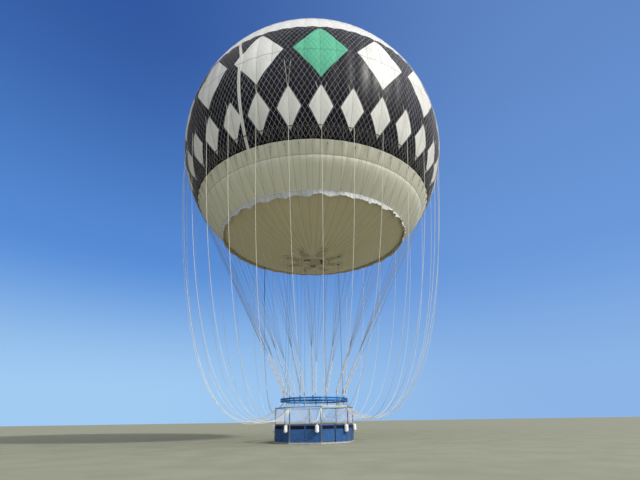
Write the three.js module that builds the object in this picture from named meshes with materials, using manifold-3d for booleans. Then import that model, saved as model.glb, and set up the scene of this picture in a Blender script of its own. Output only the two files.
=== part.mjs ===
// Tethered helium balloon that carries a ring-shaped passenger gondola.
// Millimetres, +Z up, origin at the envelope's centre, -Y towards the front.
// An azimuth is in degrees from -Y, growing towards +X.

import * as THREE from 'three';
import { mergeVertices } from 'three/addons/utils/BufferGeometryUtils.js';
import Module from 'manifold-3d';

const wasm = await Module();
wasm.setup();

// Envelope
const ENVELOPE_RADIUS = 11000;
const SKIN = 10;
const GORES = 64;
const CROWN_LATITUDE = 17;
const CREAM_LATITUDE = -31.8;
const SKIRT_LATITUDE = -48.8;
const LOWER_STEPS = 2;
const UNDERSIDE_RADIUS = 13900;
const PORT_RADIUS = 1200;
const CROWN_PORT_RADIUS = 600;
const PATCH_RING_RADIUS = 2120;
const PATCHES = 8;

// Rain skirt
const SCALLOPS = 32;
const SKIRT_DROP = { cusp: 460, arch: 250 };
const SKIRT_THICKNESS = 12;
const SKIRT_FLARE = 60;

// Rigging
const ROPE_RADIUS = 11;
const ROPES_PER_LEG = 4;
const ROPE_SPACING = 27;
const LEGS = 16;
const GIRDLE = { width: 60, thickness: 30 };

// Gondola, heights above its base
const SIDES = 8;
const FIRST_CORNER = 9;
const BASE_BELOW_CENTRE = 22900;
const BASE_APOTHEM = 2443;
const BASE_HEIGHT = 100;
const DECK_TOP = 140;
const WALL = { apothem: 2400, thickness: 30, top: 1040 };
const POST_RADIUS = 30;
const JAMB_WIDTH = 50;
const TOP_RAIL = { radius: 25, height: 1065.3 };
const UPPER_RAIL = { radius: 22, height: 2040 };
const WELL = { apothem: 900, thickness: 25, top: 1085 };
const LOAD_RING = { corner: 2290, tube: 50, lower: 2440, upper: 2580 };
const LUG = { top: 2690, bottom: 2330, width: 90, thickness: 16 };
const KNOT_HEIGHT = 3080;
const SOCKET_HEIGHT = 700;
const FENDER = { radius: 120, length: 460, top: 1060, along: 770 };

// Clearances
const SEAT_GAP = 0.3;
const GATE_GAP = 7;

const RADIANS = Math.PI / 180;
const SIDE_ANGLE = 360 / SIDES;
const CORNER_FACTOR = 1 / Math.cos(Math.PI / SIDES);
const FACET_FACTOR = Math.cos(Math.PI / GORES);
const SIDE_HALF = WALL.apothem * Math.tan(Math.PI / SIDES);
const LEG_ANGLE = 360 / LEGS;

const COLOURS = {
  crown: 0xd9d8d2, charcoal: 0x25252d, cream: 0xbdb7a0, khaki: 0x978b68, skirt: 0xcfcfca,
  rope: 0xd9d2b8, ringBlue: 0x2f6fb4, steel: 0x8d9196, deck: 0x9a9c9c, wallBlue: 0x2d4f94,
  trim: 0xb9bab6, white: 0xe9e9e6, dark: 0x2b2a28, plate: 0x857b66,
};

// Materials
function finish(colour, roughness, metalness = 0) {
  return new THREE.MeshStandardMaterial({ color: colour, roughness, metalness });
}

const MATERIALS = {
  crown: finish(COLOURS.crown, 0.55),
  charcoal: finish(COLOURS.charcoal, 0.5),
  cream: finish(COLOURS.cream, 0.55),
  khaki: finish(COLOURS.khaki, 0.6),
  skirt: finish(COLOURS.skirt, 0.7),
  rope: finish(COLOURS.rope, 0.85),
  ringBlue: finish(COLOURS.ringBlue, 0.35, 0.1),
  steel: finish(COLOURS.steel, 0.4, 0.9),
  deck: finish(COLOURS.deck, 0.45, 0.9),
  wallBlue: finish(COLOURS.wallBlue, 0.4),
  trim: finish(COLOURS.trim, 0.5, 0.3),
  white: finish(COLOURS.white, 0.35),
  dark: finish(COLOURS.dark, 0.6),
  plate: finish(COLOURS.plate, 0.7),
};

// Places
function polar(azimuth, radius, z) {
  const angle = azimuth * RADIANS;
  return new THREE.Vector3(radius * Math.sin(angle), -radius * Math.cos(angle), z);
}

function onSphere(latitude, radius) {
  return [radius * Math.cos(latitude * RADIANS), radius * Math.sin(latitude * RADIANS)];
}

function sideAzimuth(side) {
  return FIRST_CORNER + SIDE_ANGLE * (side + 0.5);
}

// Solids
function weld(geometry) {
  const bare = new THREE.BufferGeometry();
  bare.setAttribute('position', geometry.getAttribute('position'));
  bare.setIndex(geometry.getIndex());
  const merged = mergeVertices(bare, 1e-3);
  const index = merged.getIndex().array;
  const kept = [];
  for (let i = 0; i < index.length; i += 3) {
    const [a, b, c] = [index[i], index[i + 1], index[i + 2]];
    if (a !== b && b !== c && c !== a) kept.push(a, b, c);
  }
  merged.setIndex(kept);
  return merged;
}

function toSolid(geometry) {
  const welded = weld(geometry);
  return new wasm.Manifold(new wasm.Mesh({
    numProp: 3,
    vertProperties: new Float32Array(welded.getAttribute('position').array),
    triVerts: new Uint32Array(welded.getIndex().array),
  }));
}

function toGeometry(solid) {
  const { vertProperties, triVerts } = solid.getMesh();
  const geometry = new THREE.BufferGeometry();
  geometry.setAttribute('position', new THREE.BufferAttribute(vertProperties, 3));
  geometry.setIndex(new THREE.BufferAttribute(triVerts, 1));
  return geometry;
}

function union(geometries) {
  const solids = geometries.map(toSolid);
  return toGeometry(solids.reduce((whole, next) => whole.add(next)));
}

function subtract(geometry, cutters) {
  return toGeometry(cutters.map(toSolid).reduce((whole, cutter) => whole.subtract(cutter), toSolid(geometry)));
}

// A closed [radius, z] profile, counter-clockwise, turned about the Z axis
function revolve(profile, segments, startAzimuth = 0) {
  const closed = profile[0][0] === 0 ? profile : [...profile, profile[0]];
  const points = closed.map(([radius, z]) => new THREE.Vector2(radius, z));
  const geometry = new THREE.LatheGeometry(points, segments, startAzimuth * RADIANS);
  return weld(geometry.rotateX(Math.PI / 2));
}

// The same with distances to the flats of the gondola's octagon
function octagon(profile) {
  const corners = profile.map(([apothem, z]) => [apothem * CORNER_FACTOR, z]);
  return revolve(corners, SIDES, FIRST_CORNER);
}

function rectangle(inner, outer, bottom, top) {
  return [[inner, bottom], [outer, bottom], [outer, top], [inner, top]];
}

function circleProfile(radius, z, tube, points = 6) {
  return Array.from({ length: points }, (_, i) => {
    const angle = (2 * Math.PI * (i + 0.5)) / points;
    return [radius + tube * Math.cos(angle), z + tube * Math.sin(angle)];
  });
}

function rod(start, end, radius, sides = 8, endRadius = radius) {
  const axis = end.clone().sub(start);
  const geometry = new THREE.CylinderGeometry(endRadius, radius, axis.length(), sides);
  geometry.applyQuaternion(new THREE.Quaternion().setFromUnitVectors(
    new THREE.Vector3(0, 1, 0), axis.clone().normalize()));
  const middle = start.clone().add(end).multiplyScalar(0.5);
  return geometry.translate(middle.x, middle.y, middle.z);
}

// A box that faces an azimuth: along is measured sideways, out from the Z axis
function block({ along = [0, 0], out, height, azimuth = 0 }) {
  const [u0, u1] = along;
  const [n0, n1] = out;
  const [z0, z1] = height;
  const geometry = new THREE.BoxGeometry(u1 - u0, n1 - n0, z1 - z0);
  geometry.translate((u0 + u1) / 2, -(n0 + n1) / 2, (z0 + z1) / 2);
  return geometry.rotateZ(azimuth * RADIANS);
}

// A point in the same terms
function sidePoint(azimuth, along, out, z) {
  return new THREE.Vector3(along, -out, z).applyAxisAngle(new THREE.Vector3(0, 0, 1), azimuth * RADIANS);
}

// Joins equal convex sections, each anticlockwise seen along the sweep, into one closed body
function sweep(sections, looped) {
  const count = sections[0].length;
  const positions = sections.flat().flatMap((point) => point.toArray());
  const index = [];
  const spans = looped ? sections.length : sections.length - 1;
  for (let i = 0; i < spans; i += 1) {
    const here = i * count;
    const next = ((i + 1) % sections.length) * count;
    for (let j = 0; j < count; j += 1) {
      const k = (j + 1) % count;
      index.push(here + j, next + j, next + k, here + j, next + k, here + k);
    }
  }
  const last = (sections.length - 1) * count;
  for (let j = 1; !looped && j < count - 1; j += 1) {
    index.push(0, j, j + 1, last, last + j + 1, last + j);
  }
  const geometry = new THREE.BufferGeometry();
  geometry.setAttribute('position', new THREE.Float32BufferAttribute(positions, 3));
  geometry.setIndex(index);
  return geometry;
}

// A taut rope, with a section near each end so that its joints have no sliver faces
function rope(start, end, radius, sides = 4) {
  const endLength = 160;
  const axis = end.clone().sub(start);
  const length = axis.length();
  axis.normalize();
  const across = new THREE.Vector3(0, 0, 1).cross(axis).normalize();
  const other = across.clone().cross(axis);
  const sections = [0, endLength, length - endLength, length].map((distance) => (
    Array.from({ length: sides }, (_, i) => {
      const angle = (2 * Math.PI * i) / sides;
      return start.clone().addScaledVector(axis, distance)
        .addScaledVector(across, radius * Math.cos(angle))
        .addScaledVector(other, radius * Math.sin(angle));
    })));
  return sweep(sections, false);
}

function addMesh(group, name, geometry, material) {
  const mesh = new THREE.Mesh(geometry, material);
  mesh.name = name;
  group.add(mesh);
}

// Envelope
const SEAM = (SEAT_GAP / 2 / ENVELOPE_RADIUS) / RADIANS;

function sphereBand(low, high, steps, extra = []) {
  const latitudes = Array.from({ length: steps + 1 }, (_, i) => low + ((high - low) * i) / steps);
  const all = [...latitudes, ...extra].sort((a, b) => a - b);
  const outer = all.map((latitude) => onSphere(latitude, ENVELOPE_RADIUS));
  const inner = all.map((latitude) => onSphere(latitude, ENVELOPE_RADIUS - SKIN)).reverse();
  return revolve([...outer, ...inner], GORES, FIRST_CORNER);
}

// The underside is a flatter cap that starts at the skirt line
const [skirtRadius, skirtZ] = onSphere(SKIRT_LATITUDE, ENVELOPE_RADIUS);
const capCentreZ = skirtZ + Math.sqrt(UNDERSIDE_RADIUS ** 2 - skirtRadius ** 2);

function capZ(radius, depth = 0) {
  return capCentreZ - Math.sqrt((UNDERSIDE_RADIUS - depth) ** 2 - radius ** 2);
}

function undersideShell() {
  const steps = 3;
  const edge = SKIRT_LATITUDE - SEAM;
  const radii = [PORT_RADIUS, ...Array.from({ length: steps }, (_, i) => (
    PATCH_RING_RADIUS + ((skirtRadius - PATCH_RING_RADIUS) * i) / steps))];
  const outer = [...radii.map((radius) => [radius, capZ(radius)]), onSphere(edge, ENVELOPE_RADIUS)];
  const inner = [...radii.map((radius) => [radius, capZ(radius, SKIN)]), onSphere(edge, ENVELOPE_RADIUS - SKIN)];
  return revolve([...outer, ...inner.reverse()], GORES, FIRST_CORNER);
}

// Pads square to the underside, each with a short eye below it
function anchorPatches() {
  const pad = { radius: 120, proud: 35, sunk: SKIN / 2, eyeRadius: 25, eyeDrop: 70 };
  const level = capZ(PATCH_RING_RADIUS);
  const pieces = [];
  for (let i = 0; i < PATCHES; i += 1) {
    const azimuth = FIRST_CORNER + (360 / PATCHES) * (i + 0.25);
    const middle = polar(azimuth, PATCH_RING_RADIUS, level);
    const outward = middle.clone().setZ(level - capCentreZ).normalize();
    const face = middle.clone().addScaledVector(outward, pad.proud);
    pieces.push(rod(face, middle.clone().addScaledVector(outward, -pad.sunk), pad.radius, 8));
    pieces.push(rod(face.clone().setZ(face.z - pad.eyeDrop), face.clone().lerp(middle, 0.5), pad.eyeRadius, 6));
  }
  return pieces;
}

// Radius of the faceted envelope at the skirt line, between two gore seams
function facetRadius(azimuth, radius) {
  const step = 360 / GORES;
  const within = (((azimuth - FIRST_CORNER) % step) + step) % step;
  return (radius * FACET_FACTOR) / Math.cos((within - step / 2) * RADIANS);
}

function rainSkirt() {
  const stepsPerScallop = 4;
  const steps = SCALLOPS * stepsPerScallop;
  const topZ = skirtZ + 40;
  const stepLatitude = SKIRT_LATITUDE + (CREAM_LATITUDE - SKIRT_LATITUDE) / LOWER_STEPS;
  const [stepRadius, stepZ] = onSphere(stepLatitude, ENVELOPE_RADIUS);
  const slope = (stepRadius - skirtRadius) / (stepZ - skirtZ);
  const topRadius = skirtRadius + slope * (topZ - skirtZ) + SEAT_GAP * 1.4;
  const sections = Array.from({ length: steps }, (_, i) => {
    const azimuth = FIRST_CORNER + (360 * i) / steps;
    const arch = Math.sin((Math.PI * (i % stepsPerScallop)) / stepsPerScallop);
    const hemZ = topZ - SKIRT_DROP.cusp + (SKIRT_DROP.cusp - SKIRT_DROP.arch) * arch;
    const inner = facetRadius(azimuth, topRadius);
    const hem = inner + SKIRT_FLARE;
    return [
      polar(azimuth, hem, hemZ), polar(azimuth, hem + SKIRT_THICKNESS, hemZ),
      polar(azimuth, inner + SKIRT_THICKNESS, topZ), polar(azimuth, inner, topZ),
    ];
  });
  return sweep(sections, true);
}

function crownValve() {
  const seat = onSphere(Math.acos(CROWN_PORT_RADIUS / ENVELOPE_RADIUS) / RADIANS, ENVELOPE_RADIUS)[1] + SEAT_GAP;
  return revolve([
    [0, seat], [CROWN_PORT_RADIUS + 40, seat], [CROWN_PORT_RADIUS + 40, seat + 35],
    [420, seat + 70], [300, seat + 160], [0, seat + 190],
  ], 24);
}

function addEnvelope(group, girdleLatitude) {
  const crownTop = Math.acos(CROWN_PORT_RADIUS / ENVELOPE_RADIUS) / RADIANS;
  addMesh(group, 'envelope_crown', sphereBand(CROWN_LATITUDE + SEAM, crownTop, 6), MATERIALS.crown);
  addMesh(group, 'envelope_band',
    sphereBand(CREAM_LATITUDE + SEAM, CROWN_LATITUDE - SEAM, 5, [girdleLatitude]), MATERIALS.charcoal);
  addMesh(group, 'envelope_lower',
    sphereBand(SKIRT_LATITUDE + SEAM, CREAM_LATITUDE - SEAM, LOWER_STEPS), MATERIALS.cream);
  addMesh(group, 'envelope_underside', union([undersideShell(), ...anchorPatches()]), MATERIALS.khaki);
  addMesh(group, 'rain_skirt', rainSkirt(), MATERIALS.skirt);
  addMesh(group, 'crown_valve', crownValve(), MATERIALS.white);
}

// Port plate under the envelope, with the fan box and its fittings
function addPortFittings(group) {
  const plate = { radius: PORT_RADIUS - SEAT_GAP, top: capZ(PORT_RADIUS, SKIN), bottom: capZ(PORT_RADIUS) - 12 };
  addMesh(group, 'port_plate', revolve([
    [0, plate.bottom], [plate.radius, plate.bottom], [plate.radius, plate.top], [0, plate.top],
  ], GORES, FIRST_CORNER), MATERIALS.plate);

  const seat = plate.bottom - SEAT_GAP;
  const fan = { x: -520, y: -370, half: 190, deep: 240 };
  addMesh(group, 'fan_box', block({
    along: [fan.x - fan.half, fan.x + fan.half],
    out: [-fan.y - fan.half, -fan.y + fan.half],
    height: [seat - fan.deep, seat],
  }), MATERIALS.white);

  const disc = { x: -60, y: 820, radius: 230, deep: 60 };
  addMesh(group, 'pressure_valve', revolve([
    [0, seat - disc.deep], [disc.radius * 0.8, seat - disc.deep], [disc.radius, seat - 20],
    [disc.radius, seat], [0, seat],
  ], 16).translate(disc.x, disc.y, 0), MATERIALS.dark);

  const hose = { x: 640, y: -370, flange: 160, neck: 90, deep: 300 };
  addMesh(group, 'filling_neck', revolve([
    [0, seat - hose.deep], [hose.neck, seat - hose.deep], [hose.neck, seat - 30],
    [hose.flange, seat - 30], [hose.flange, seat], [0, seat],
  ], 12).translate(hose.x, hose.y, 0), MATERIALS.dark);
}

// Suspension: the knots hang on straight ropes that touch the envelope at the girdle
const knotRadius = (LOAD_RING.corner / CORNER_FACTOR) / Math.cos((LEG_ANGLE / 2) * RADIANS);
const knotZ = KNOT_HEIGHT - BASE_BELOW_CENTRE;
const ropeSurface = ENVELOPE_RADIUS + GIRDLE.thickness / 2;
const girdleLatitude = Math.atan2(knotZ, knotRadius) / RADIANS
  + Math.acos(ropeSurface / Math.hypot(knotRadius, knotZ)) / RADIANS;

// One sector's length of the girdle, bent at the gore seams and short of its ends by half a gap
function girdleArc(firstAzimuth) {
  const halfAngle = (GIRDLE.width / 2 / ENVELOPE_RADIUS) / RADIANS;
  const [low, high] = [girdleLatitude - halfAngle, girdleLatitude + halfAngle];
  const [inner, outer] = [ENVELOPE_RADIUS + SEAT_GAP, ENVELOPE_RADIUS + GIRDLE.thickness];
  const profile = [onSphere(low, inner), onSphere(low, outer), onSphere(high, outer), onSphere(high, inner)];
  const gores = GORES / SIDES;
  const sections = Array.from({ length: gores + 1 }, (_, i) => {
    const shift = (i === 0 ? SEAM : 0) - (i === gores ? SEAM : 0);
    const azimuth = firstAzimuth + (360 / GORES) * i + shift;
    return profile.map(([radius, z]) => polar(azimuth, shift === 0 ? radius : facetRadius(azimuth, radius), z));
  });
  return sweep(sections, false);
}

function suspensionSector(side) {
  const middle = sideAzimuth(side);
  const pieces = [girdleArc(middle - SIDE_ANGLE / 2)];
  const [ropeRadius, ropeZ] = onSphere(girdleLatitude, ropeSurface);
  const lugTopZ = LUG.top + SEAT_GAP - BASE_BELOW_CENTRE;
  for (const half of [-0.5, 0.5]) {
    const azimuth = middle + half * LEG_ANGLE;
    for (let i = 0; i < ROPES_PER_LEG; i += 1) {
      const place = i - (ROPES_PER_LEG - 1) / 2;
      const top = polar(azimuth + (place * LEG_ANGLE) / ROPES_PER_LEG, ropeRadius * FACET_FACTOR, ropeZ);
      pieces.push(rope(top, sidePoint(azimuth, place * ROPE_SPACING, knotRadius, knotZ), ROPE_RADIUS));
    }
    pieces.push(rod(polar(azimuth, knotRadius, knotZ - 110), polar(azimuth, knotRadius, knotZ + 40), 24, 8, 62));
    pieces.push(rod(polar(azimuth, knotRadius, lugTopZ + 30), polar(azimuth, knotRadius, knotZ - 60), 18, 6));
    pieces.push(block({
      along: [-35, 35], out: [knotRadius - 20, knotRadius + 20], height: [lugTopZ, lugTopZ + 70], azimuth,
    }));
  }
  return union(pieces);
}

function addSuspension(group) {
  for (let side = 0; side < SIDES; side += 1) {
    addMesh(group, `suspension_sector_${side + 1}`, suspensionSector(side), MATERIALS.rope);
  }
}

// Load ring: two octagonal tubes with plates that join them and carry the ropes
const bridleLug = { face: LOAD_RING.corner - 110, bottom: LOAD_RING.lower - 60, top: LOAD_RING.lower + 30 };

function loadRing() {
  const pieces = [LOAD_RING.lower, LOAD_RING.upper].map((z) => (
    octagon(circleProfile(LOAD_RING.corner / CORNER_FACTOR, z, LOAD_RING.tube))));
  for (let side = 0; side < SIDES; side += 1) {
    for (const half of [-0.5, 0.5]) {
      const azimuth = sideAzimuth(side) + half * LEG_ANGLE;
      pieces.push(block({
        along: [-LUG.width / 2, LUG.width / 2],
        out: [knotRadius - LUG.thickness / 2, knotRadius + LUG.thickness / 2],
        height: [LUG.bottom, LUG.top],
        azimuth,
      }));
    }
    const corner = FIRST_CORNER + SIDE_ANGLE * side;
    pieces.push(block({
      along: [-30, 30], out: [bridleLug.face, LOAD_RING.corner],
      height: [bridleLug.bottom, bridleLug.top], azimuth: corner,
    }));
    pieces.push(rod(polar(corner, LOAD_RING.corner, LOAD_RING.lower),
      polar(corner, LOAD_RING.corner, LOAD_RING.upper), 30, 6));
  }
  return union(pieces);
}

// Bridle: eight cables from the load ring to a socket over the well
function bridle() {
  const socket = { radius: 75, bottom: SOCKET_HEIGHT - 90, top: SOCKET_HEIGHT + 90 };
  const pieces = [rod(polar(0, 0, socket.bottom), polar(0, 0, socket.top), socket.radius, 16)];
  for (let i = 0; i < SIDES; i += 1) {
    const azimuth = FIRST_CORNER + SIDE_ANGLE * i;
    const face = bridleLug.face - SEAT_GAP;
    const lugMiddle = (bridleLug.bottom + bridleLug.top) / 2;
    pieces.push(rope(polar(azimuth, 30, SOCKET_HEIGHT), polar(azimuth, face - 30, lugMiddle), 11, 6));
    pieces.push(block({
      along: [-22, 22], out: [face - 60, face], height: [lugMiddle - 35, lugMiddle + 25], azimuth,
    }));
  }
  return { geometry: union(pieces), bottom: socket.bottom };
}

function addTether(group) {
  const { geometry, bottom } = bridle();
  addMesh(group, 'bridle', geometry, MATERIALS.steel);

  const housing = { top: bottom - SEAT_GAP, bottom: bottom - 150 };
  addMesh(group, 'swivel_housing', revolve([
    [0, housing.bottom], [60, housing.bottom], [68, housing.bottom + 20],
    [68, housing.top - 40], [50, housing.top], [0, housing.top],
  ], 16), MATERIALS.steel);

  const eye = { top: housing.bottom - SEAT_GAP, bottom: housing.bottom - 110 };
  addMesh(group, 'swivel_eye', revolve([
    [0, eye.bottom], [40, eye.bottom], [55, eye.bottom + 30], [55, eye.top - 20], [48, eye.top], [0, eye.top],
  ], 16), MATERIALS.steel);

  const cable = { top: eye.bottom - SEAT_GAP, radius: 15, socketTop: 130, socketRadius: 34 };
  addMesh(group, 'tether_cable', revolve([
    [0, 0], [cable.socketRadius, 0], [cable.socketRadius, cable.socketTop - 40],
    [cable.radius, cable.socketTop], [cable.radius, cable.top], [0, cable.top],
  ], 12), MATERIALS.steel);
}

// Gondola
const jambHalf = JAMB_WIDTH / 2;
const hinge = { side: 0, along: -jambHalf - 3.5, out: WALL.apothem - jambHalf - 12 };
const gate = {
  near: -jambHalf - GATE_GAP, far: -(SIDE_HALF - POST_RADIUS - GATE_GAP - 4), bottom: 150,
  knuckles: [260, 880], knuckleHalf: 40, knuckleRadius: 9,
};
const wallOut = [WALL.apothem - WALL.thickness / 2, WALL.apothem + WALL.thickness / 2];

function baseFrame() {
  const pieces = [
    octagon(rectangle(BASE_APOTHEM - 90, BASE_APOTHEM, 0, BASE_HEIGHT)),
    octagon(rectangle(WELL.apothem - 50, WELL.apothem + 10, 0, BASE_HEIGHT)),
  ];
  for (let i = 0; i < SIDES * 2; i += 1) {
    const azimuth = FIRST_CORNER + (SIDE_ANGLE / 2) * i;
    pieces.push(block({
      along: [-25, 25], out: [WELL.apothem - 20, BASE_APOTHEM - 50], height: [20, BASE_HEIGHT], azimuth,
    }));
  }
  return union(pieces);
}

function hangers() {
  const pieces = [];
  const lugBottom = LUG.bottom - SEAT_GAP;
  for (let leg = 0; leg < LEGS; leg += 1) {
    const side = Math.floor(leg / 2);
    const half = leg % 2 ? 0.5 : -0.5;
    const azimuth = sideAzimuth(side) + half * LEG_ANGLE;
    const railRadius = WALL.apothem / Math.cos((LEG_ANGLE / 2) * RADIANS);
    pieces.push(rod(polar(azimuth, railRadius, UPPER_RAIL.height), polar(azimuth, knotRadius, lugBottom - 40), 10, 5));
    pieces.push(block({
      along: [-30, 30], out: [knotRadius - 16, knotRadius + 16], height: [lugBottom - 70, lugBottom], azimuth,
    }));
  }
  return pieces;
}

function hingeBrackets(azimuth) {
  return gate.knuckles.flatMap((z) => [-1, 1].map((direction) => {
    const near = z + direction * (gate.knuckleHalf + 0.5);
    const far = near + direction * 15;
    return block({
      along: [hinge.along - 8, 0], out: [hinge.out - 9, WALL.apothem - jambHalf + 5],
      height: [Math.min(near, far), Math.max(near, far)], azimuth,
    });
  }));
}

function gondolaFrame() {
  const gateSide = sideAzimuth(hinge.side);
  const foot = BASE_HEIGHT + SEAT_GAP;
  const topRail = octagon(circleProfile(WALL.apothem, TOP_RAIL.height, TOP_RAIL.radius));
  const gateway = block({
    along: [-(SIDE_HALF - POST_RADIUS / 2), 0], out: [WALL.apothem - 80, WALL.apothem + 80],
    height: [TOP_RAIL.height - 60, TOP_RAIL.height + 60], azimuth: gateSide,
  });
  const pieces = [
    subtract(topRail, [gateway]),
    octagon(circleProfile(WALL.apothem, UPPER_RAIL.height, UPPER_RAIL.radius)),
    block({
      along: [-jambHalf, jambHalf], out: [WALL.apothem - jambHalf, WALL.apothem + jambHalf],
      height: [foot, TOP_RAIL.height + TOP_RAIL.radius], azimuth: gateSide,
    }),
    ...hingeBrackets(gateSide),
    ...hangers(),
  ];
  for (let i = 0; i < SIDES; i += 1) {
    const azimuth = FIRST_CORNER + SIDE_ANGLE * i;
    const radius = WALL.apothem * CORNER_FACTOR;
    pieces.push(rod(polar(azimuth, radius, foot), polar(azimuth, radius, UPPER_RAIL.height), POST_RADIUS, 6));
  }
  return union(pieces);
}

// Two panels of one side, joined behind by a stiffener
function wallSide(side) {
  const azimuth = sideAzimuth(side);
  const end = SIDE_HALF - POST_RADIUS - 2;
  const height = [BASE_HEIGHT + SEAT_GAP, WALL.top];
  const seam = 6;
  if (side === hinge.side) {
    return block({ along: [jambHalf + SEAT_GAP, end], out: wallOut, height, azimuth });
  }
  return union([
    block({ along: [-end, -seam], out: wallOut, height, azimuth }),
    block({ along: [seam, end], out: wallOut, height, azimuth }),
    block({
      along: [-40, 40], out: [wallOut[0] - 20, wallOut[0] + 10], height: [height[0] + 60, height[1] - 20], azimuth,
    }),
  ]);
}

function boardingGate() {
  const azimuth = sideAzimuth(hinge.side);
  const pieces = [
    block({ along: [gate.far, gate.near], out: wallOut, height: [gate.bottom, WALL.top], azimuth }),
    block({
      along: [gate.far, gate.near], out: [wallOut[0] - 5, wallOut[1] + 5], height: [WALL.top - 5, WALL.top + 45], azimuth,
    }),
  ];
  for (const z of gate.knuckles) {
    const low = sidePoint(azimuth, hinge.along, hinge.out, z - gate.knuckleHalf);
    const high = sidePoint(azimuth, hinge.along, hinge.out, z + gate.knuckleHalf);
    pieces.push(rod(low, high, gate.knuckleRadius, 12));
    pieces.push(block({
      along: [gate.near - 60, hinge.along], out: [hinge.out - 4, wallOut[0] + 5],
      height: [z - gate.knuckleHalf + 5, z + gate.knuckleHalf - 5], azimuth,
    }));
  }
  return union(pieces);
}

function gateLatch() {
  const azimuth = sideAzimuth(hinge.side);
  const face = wallOut[0] - SEAT_GAP;
  const z = 900;
  return union([
    block({ along: [gate.far + 10, gate.far + 170], out: [face - 18, face], height: [z - 35, z + 35], azimuth }),
    rod(sidePoint(azimuth, gate.far, face - 24, z), sidePoint(azimuth, gate.far + 180, face - 24, z), 10, 8),
    rod(sidePoint(azimuth, gate.far + 130, face - 24, z), sidePoint(azimuth, gate.far + 130, face - 90, z), 8, 8),
  ]);
}

function fender(side) {
  const azimuth = sideAzimuth(side);
  const out = wallOut[1] + FENDER.radius + SEAT_GAP;
  const { radius, length, top } = FENDER;
  const bottom = top - length;
  const railFace = WALL.apothem + TOP_RAIL.radius * Math.cos(Math.PI / SIDES) + SEAT_GAP;
  const body = revolve([
    [0, bottom], [radius * 0.6, bottom + 18], [radius, bottom + 80], [radius, top - 80],
    [radius * 0.6, top - 18], [0, top],
  ], 12).translate(FENDER.along, -out, 0).rotateZ(azimuth * RADIANS);
  const eye = sidePoint(azimuth, FENDER.along, out, top - 20);
  const bend = sidePoint(azimuth, FENDER.along, out, TOP_RAIL.height + 5);
  return union([
    body,
    rod(eye, bend, 18, 6),
    block({
      along: [FENDER.along - 14, FENDER.along + 14], out: [railFace, out],
      height: [TOP_RAIL.height - 8, TOP_RAIL.height + 12], azimuth,
    }),
  ]);
}

function addGondola(group) {
  addMesh(group, 'base_frame', baseFrame(), MATERIALS.steel);
  addMesh(group, 'base_trim',
    octagon(rectangle(BASE_APOTHEM + SEAT_GAP, BASE_APOTHEM + 18, 5, 70)), MATERIALS.trim);
  addMesh(group, 'deck',
    octagon(rectangle(WELL.apothem + SEAT_GAP, BASE_APOTHEM - 80, BASE_HEIGHT + SEAT_GAP, DECK_TOP)), MATERIALS.deck);
  const foot = BASE_HEIGHT + SEAT_GAP;
  addMesh(group, 'well_wall', octagon([
    [WELL.apothem - WELL.thickness, foot], [WELL.apothem, foot], [WELL.apothem, WELL.top - 45],
    [WELL.apothem + 12, WELL.top - 45], [WELL.apothem + 12, WELL.top],
    [WELL.apothem - WELL.thickness - 12, WELL.top], [WELL.apothem - WELL.thickness - 12, WELL.top - 45],
    [WELL.apothem - WELL.thickness, WELL.top - 45],
  ]), MATERIALS.wallBlue);
  addMesh(group, 'gondola_frame', gondolaFrame(), MATERIALS.trim);
  for (let side = 0; side < SIDES; side += 1) {
    addMesh(group, `wall_side_${side + 1}`, wallSide(side), MATERIALS.wallBlue);
    addMesh(group, `fender_${side + 1}`, fender(side), MATERIALS.white);
  }
  addMesh(group, 'boarding_gate', boardingGate(), MATERIALS.wallBlue);
  addMesh(group, 'gate_latch', gateLatch(), MATERIALS.steel);
}

// Assembly
const balloon = new THREE.Group();
balloon.name = 'tethered_balloon';
addEnvelope(balloon, girdleLatitude);
addPortFittings(balloon);
addSuspension(balloon);

const carried = new THREE.Group();
carried.position.z = -BASE_BELOW_CENTRE;
balloon.add(carried);
addMesh(carried, 'load_ring', loadRing(), MATERIALS.ringBlue);
addTether(carried);
addGondola(carried);

export default balloon;
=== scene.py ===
"""Looks of a tethered helium balloon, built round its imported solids.

Metres, +Z up, the origin at the envelope's centre and -Y to the front.
An azimuth is in degrees from -Y and grows towards +X.
"""

import logging
from dataclasses import dataclass, field
from enum import Enum
from functools import partialmethod
from math import acos, acosh, asinh, atan2, cos, degrees, hypot, pi, radians, sin, sinh, sqrt, tan
from typing import Callable, Sequence

import bmesh
import bpy
import numpy as np
from bpy.types import Material, Mesh, Node, NodeSocket as Socket, NodeTree, Object
from mathutils import Matrix, Vector

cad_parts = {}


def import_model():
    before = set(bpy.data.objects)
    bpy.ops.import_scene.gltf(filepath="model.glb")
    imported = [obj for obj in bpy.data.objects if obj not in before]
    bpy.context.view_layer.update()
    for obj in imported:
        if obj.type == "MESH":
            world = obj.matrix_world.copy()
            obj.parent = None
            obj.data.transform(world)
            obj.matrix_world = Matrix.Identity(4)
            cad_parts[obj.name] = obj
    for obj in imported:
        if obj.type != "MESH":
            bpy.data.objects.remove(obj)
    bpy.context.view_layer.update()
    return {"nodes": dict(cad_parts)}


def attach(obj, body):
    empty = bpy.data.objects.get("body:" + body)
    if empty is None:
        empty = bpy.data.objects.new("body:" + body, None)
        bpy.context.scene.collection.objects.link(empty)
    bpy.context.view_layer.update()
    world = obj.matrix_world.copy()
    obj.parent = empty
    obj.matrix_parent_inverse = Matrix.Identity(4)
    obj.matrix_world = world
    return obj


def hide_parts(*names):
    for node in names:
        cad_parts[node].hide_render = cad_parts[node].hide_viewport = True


LOG = logging.getLogger("balloon")
RUN_ATTRIBUTE = "rope_run"
LYING = Matrix.Rotation(pi / 2, 4, "Y")
Colour = tuple[float, float, float]
Value = float | Colour | Socket
Profile = Sequence[tuple[float, float]]
Array = np.ndarray


class Body(Enum):
    """The bodies that pieces ride on."""

    ROOT = "root"
    GATE = "gate"
    TETHER = "tether"


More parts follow.
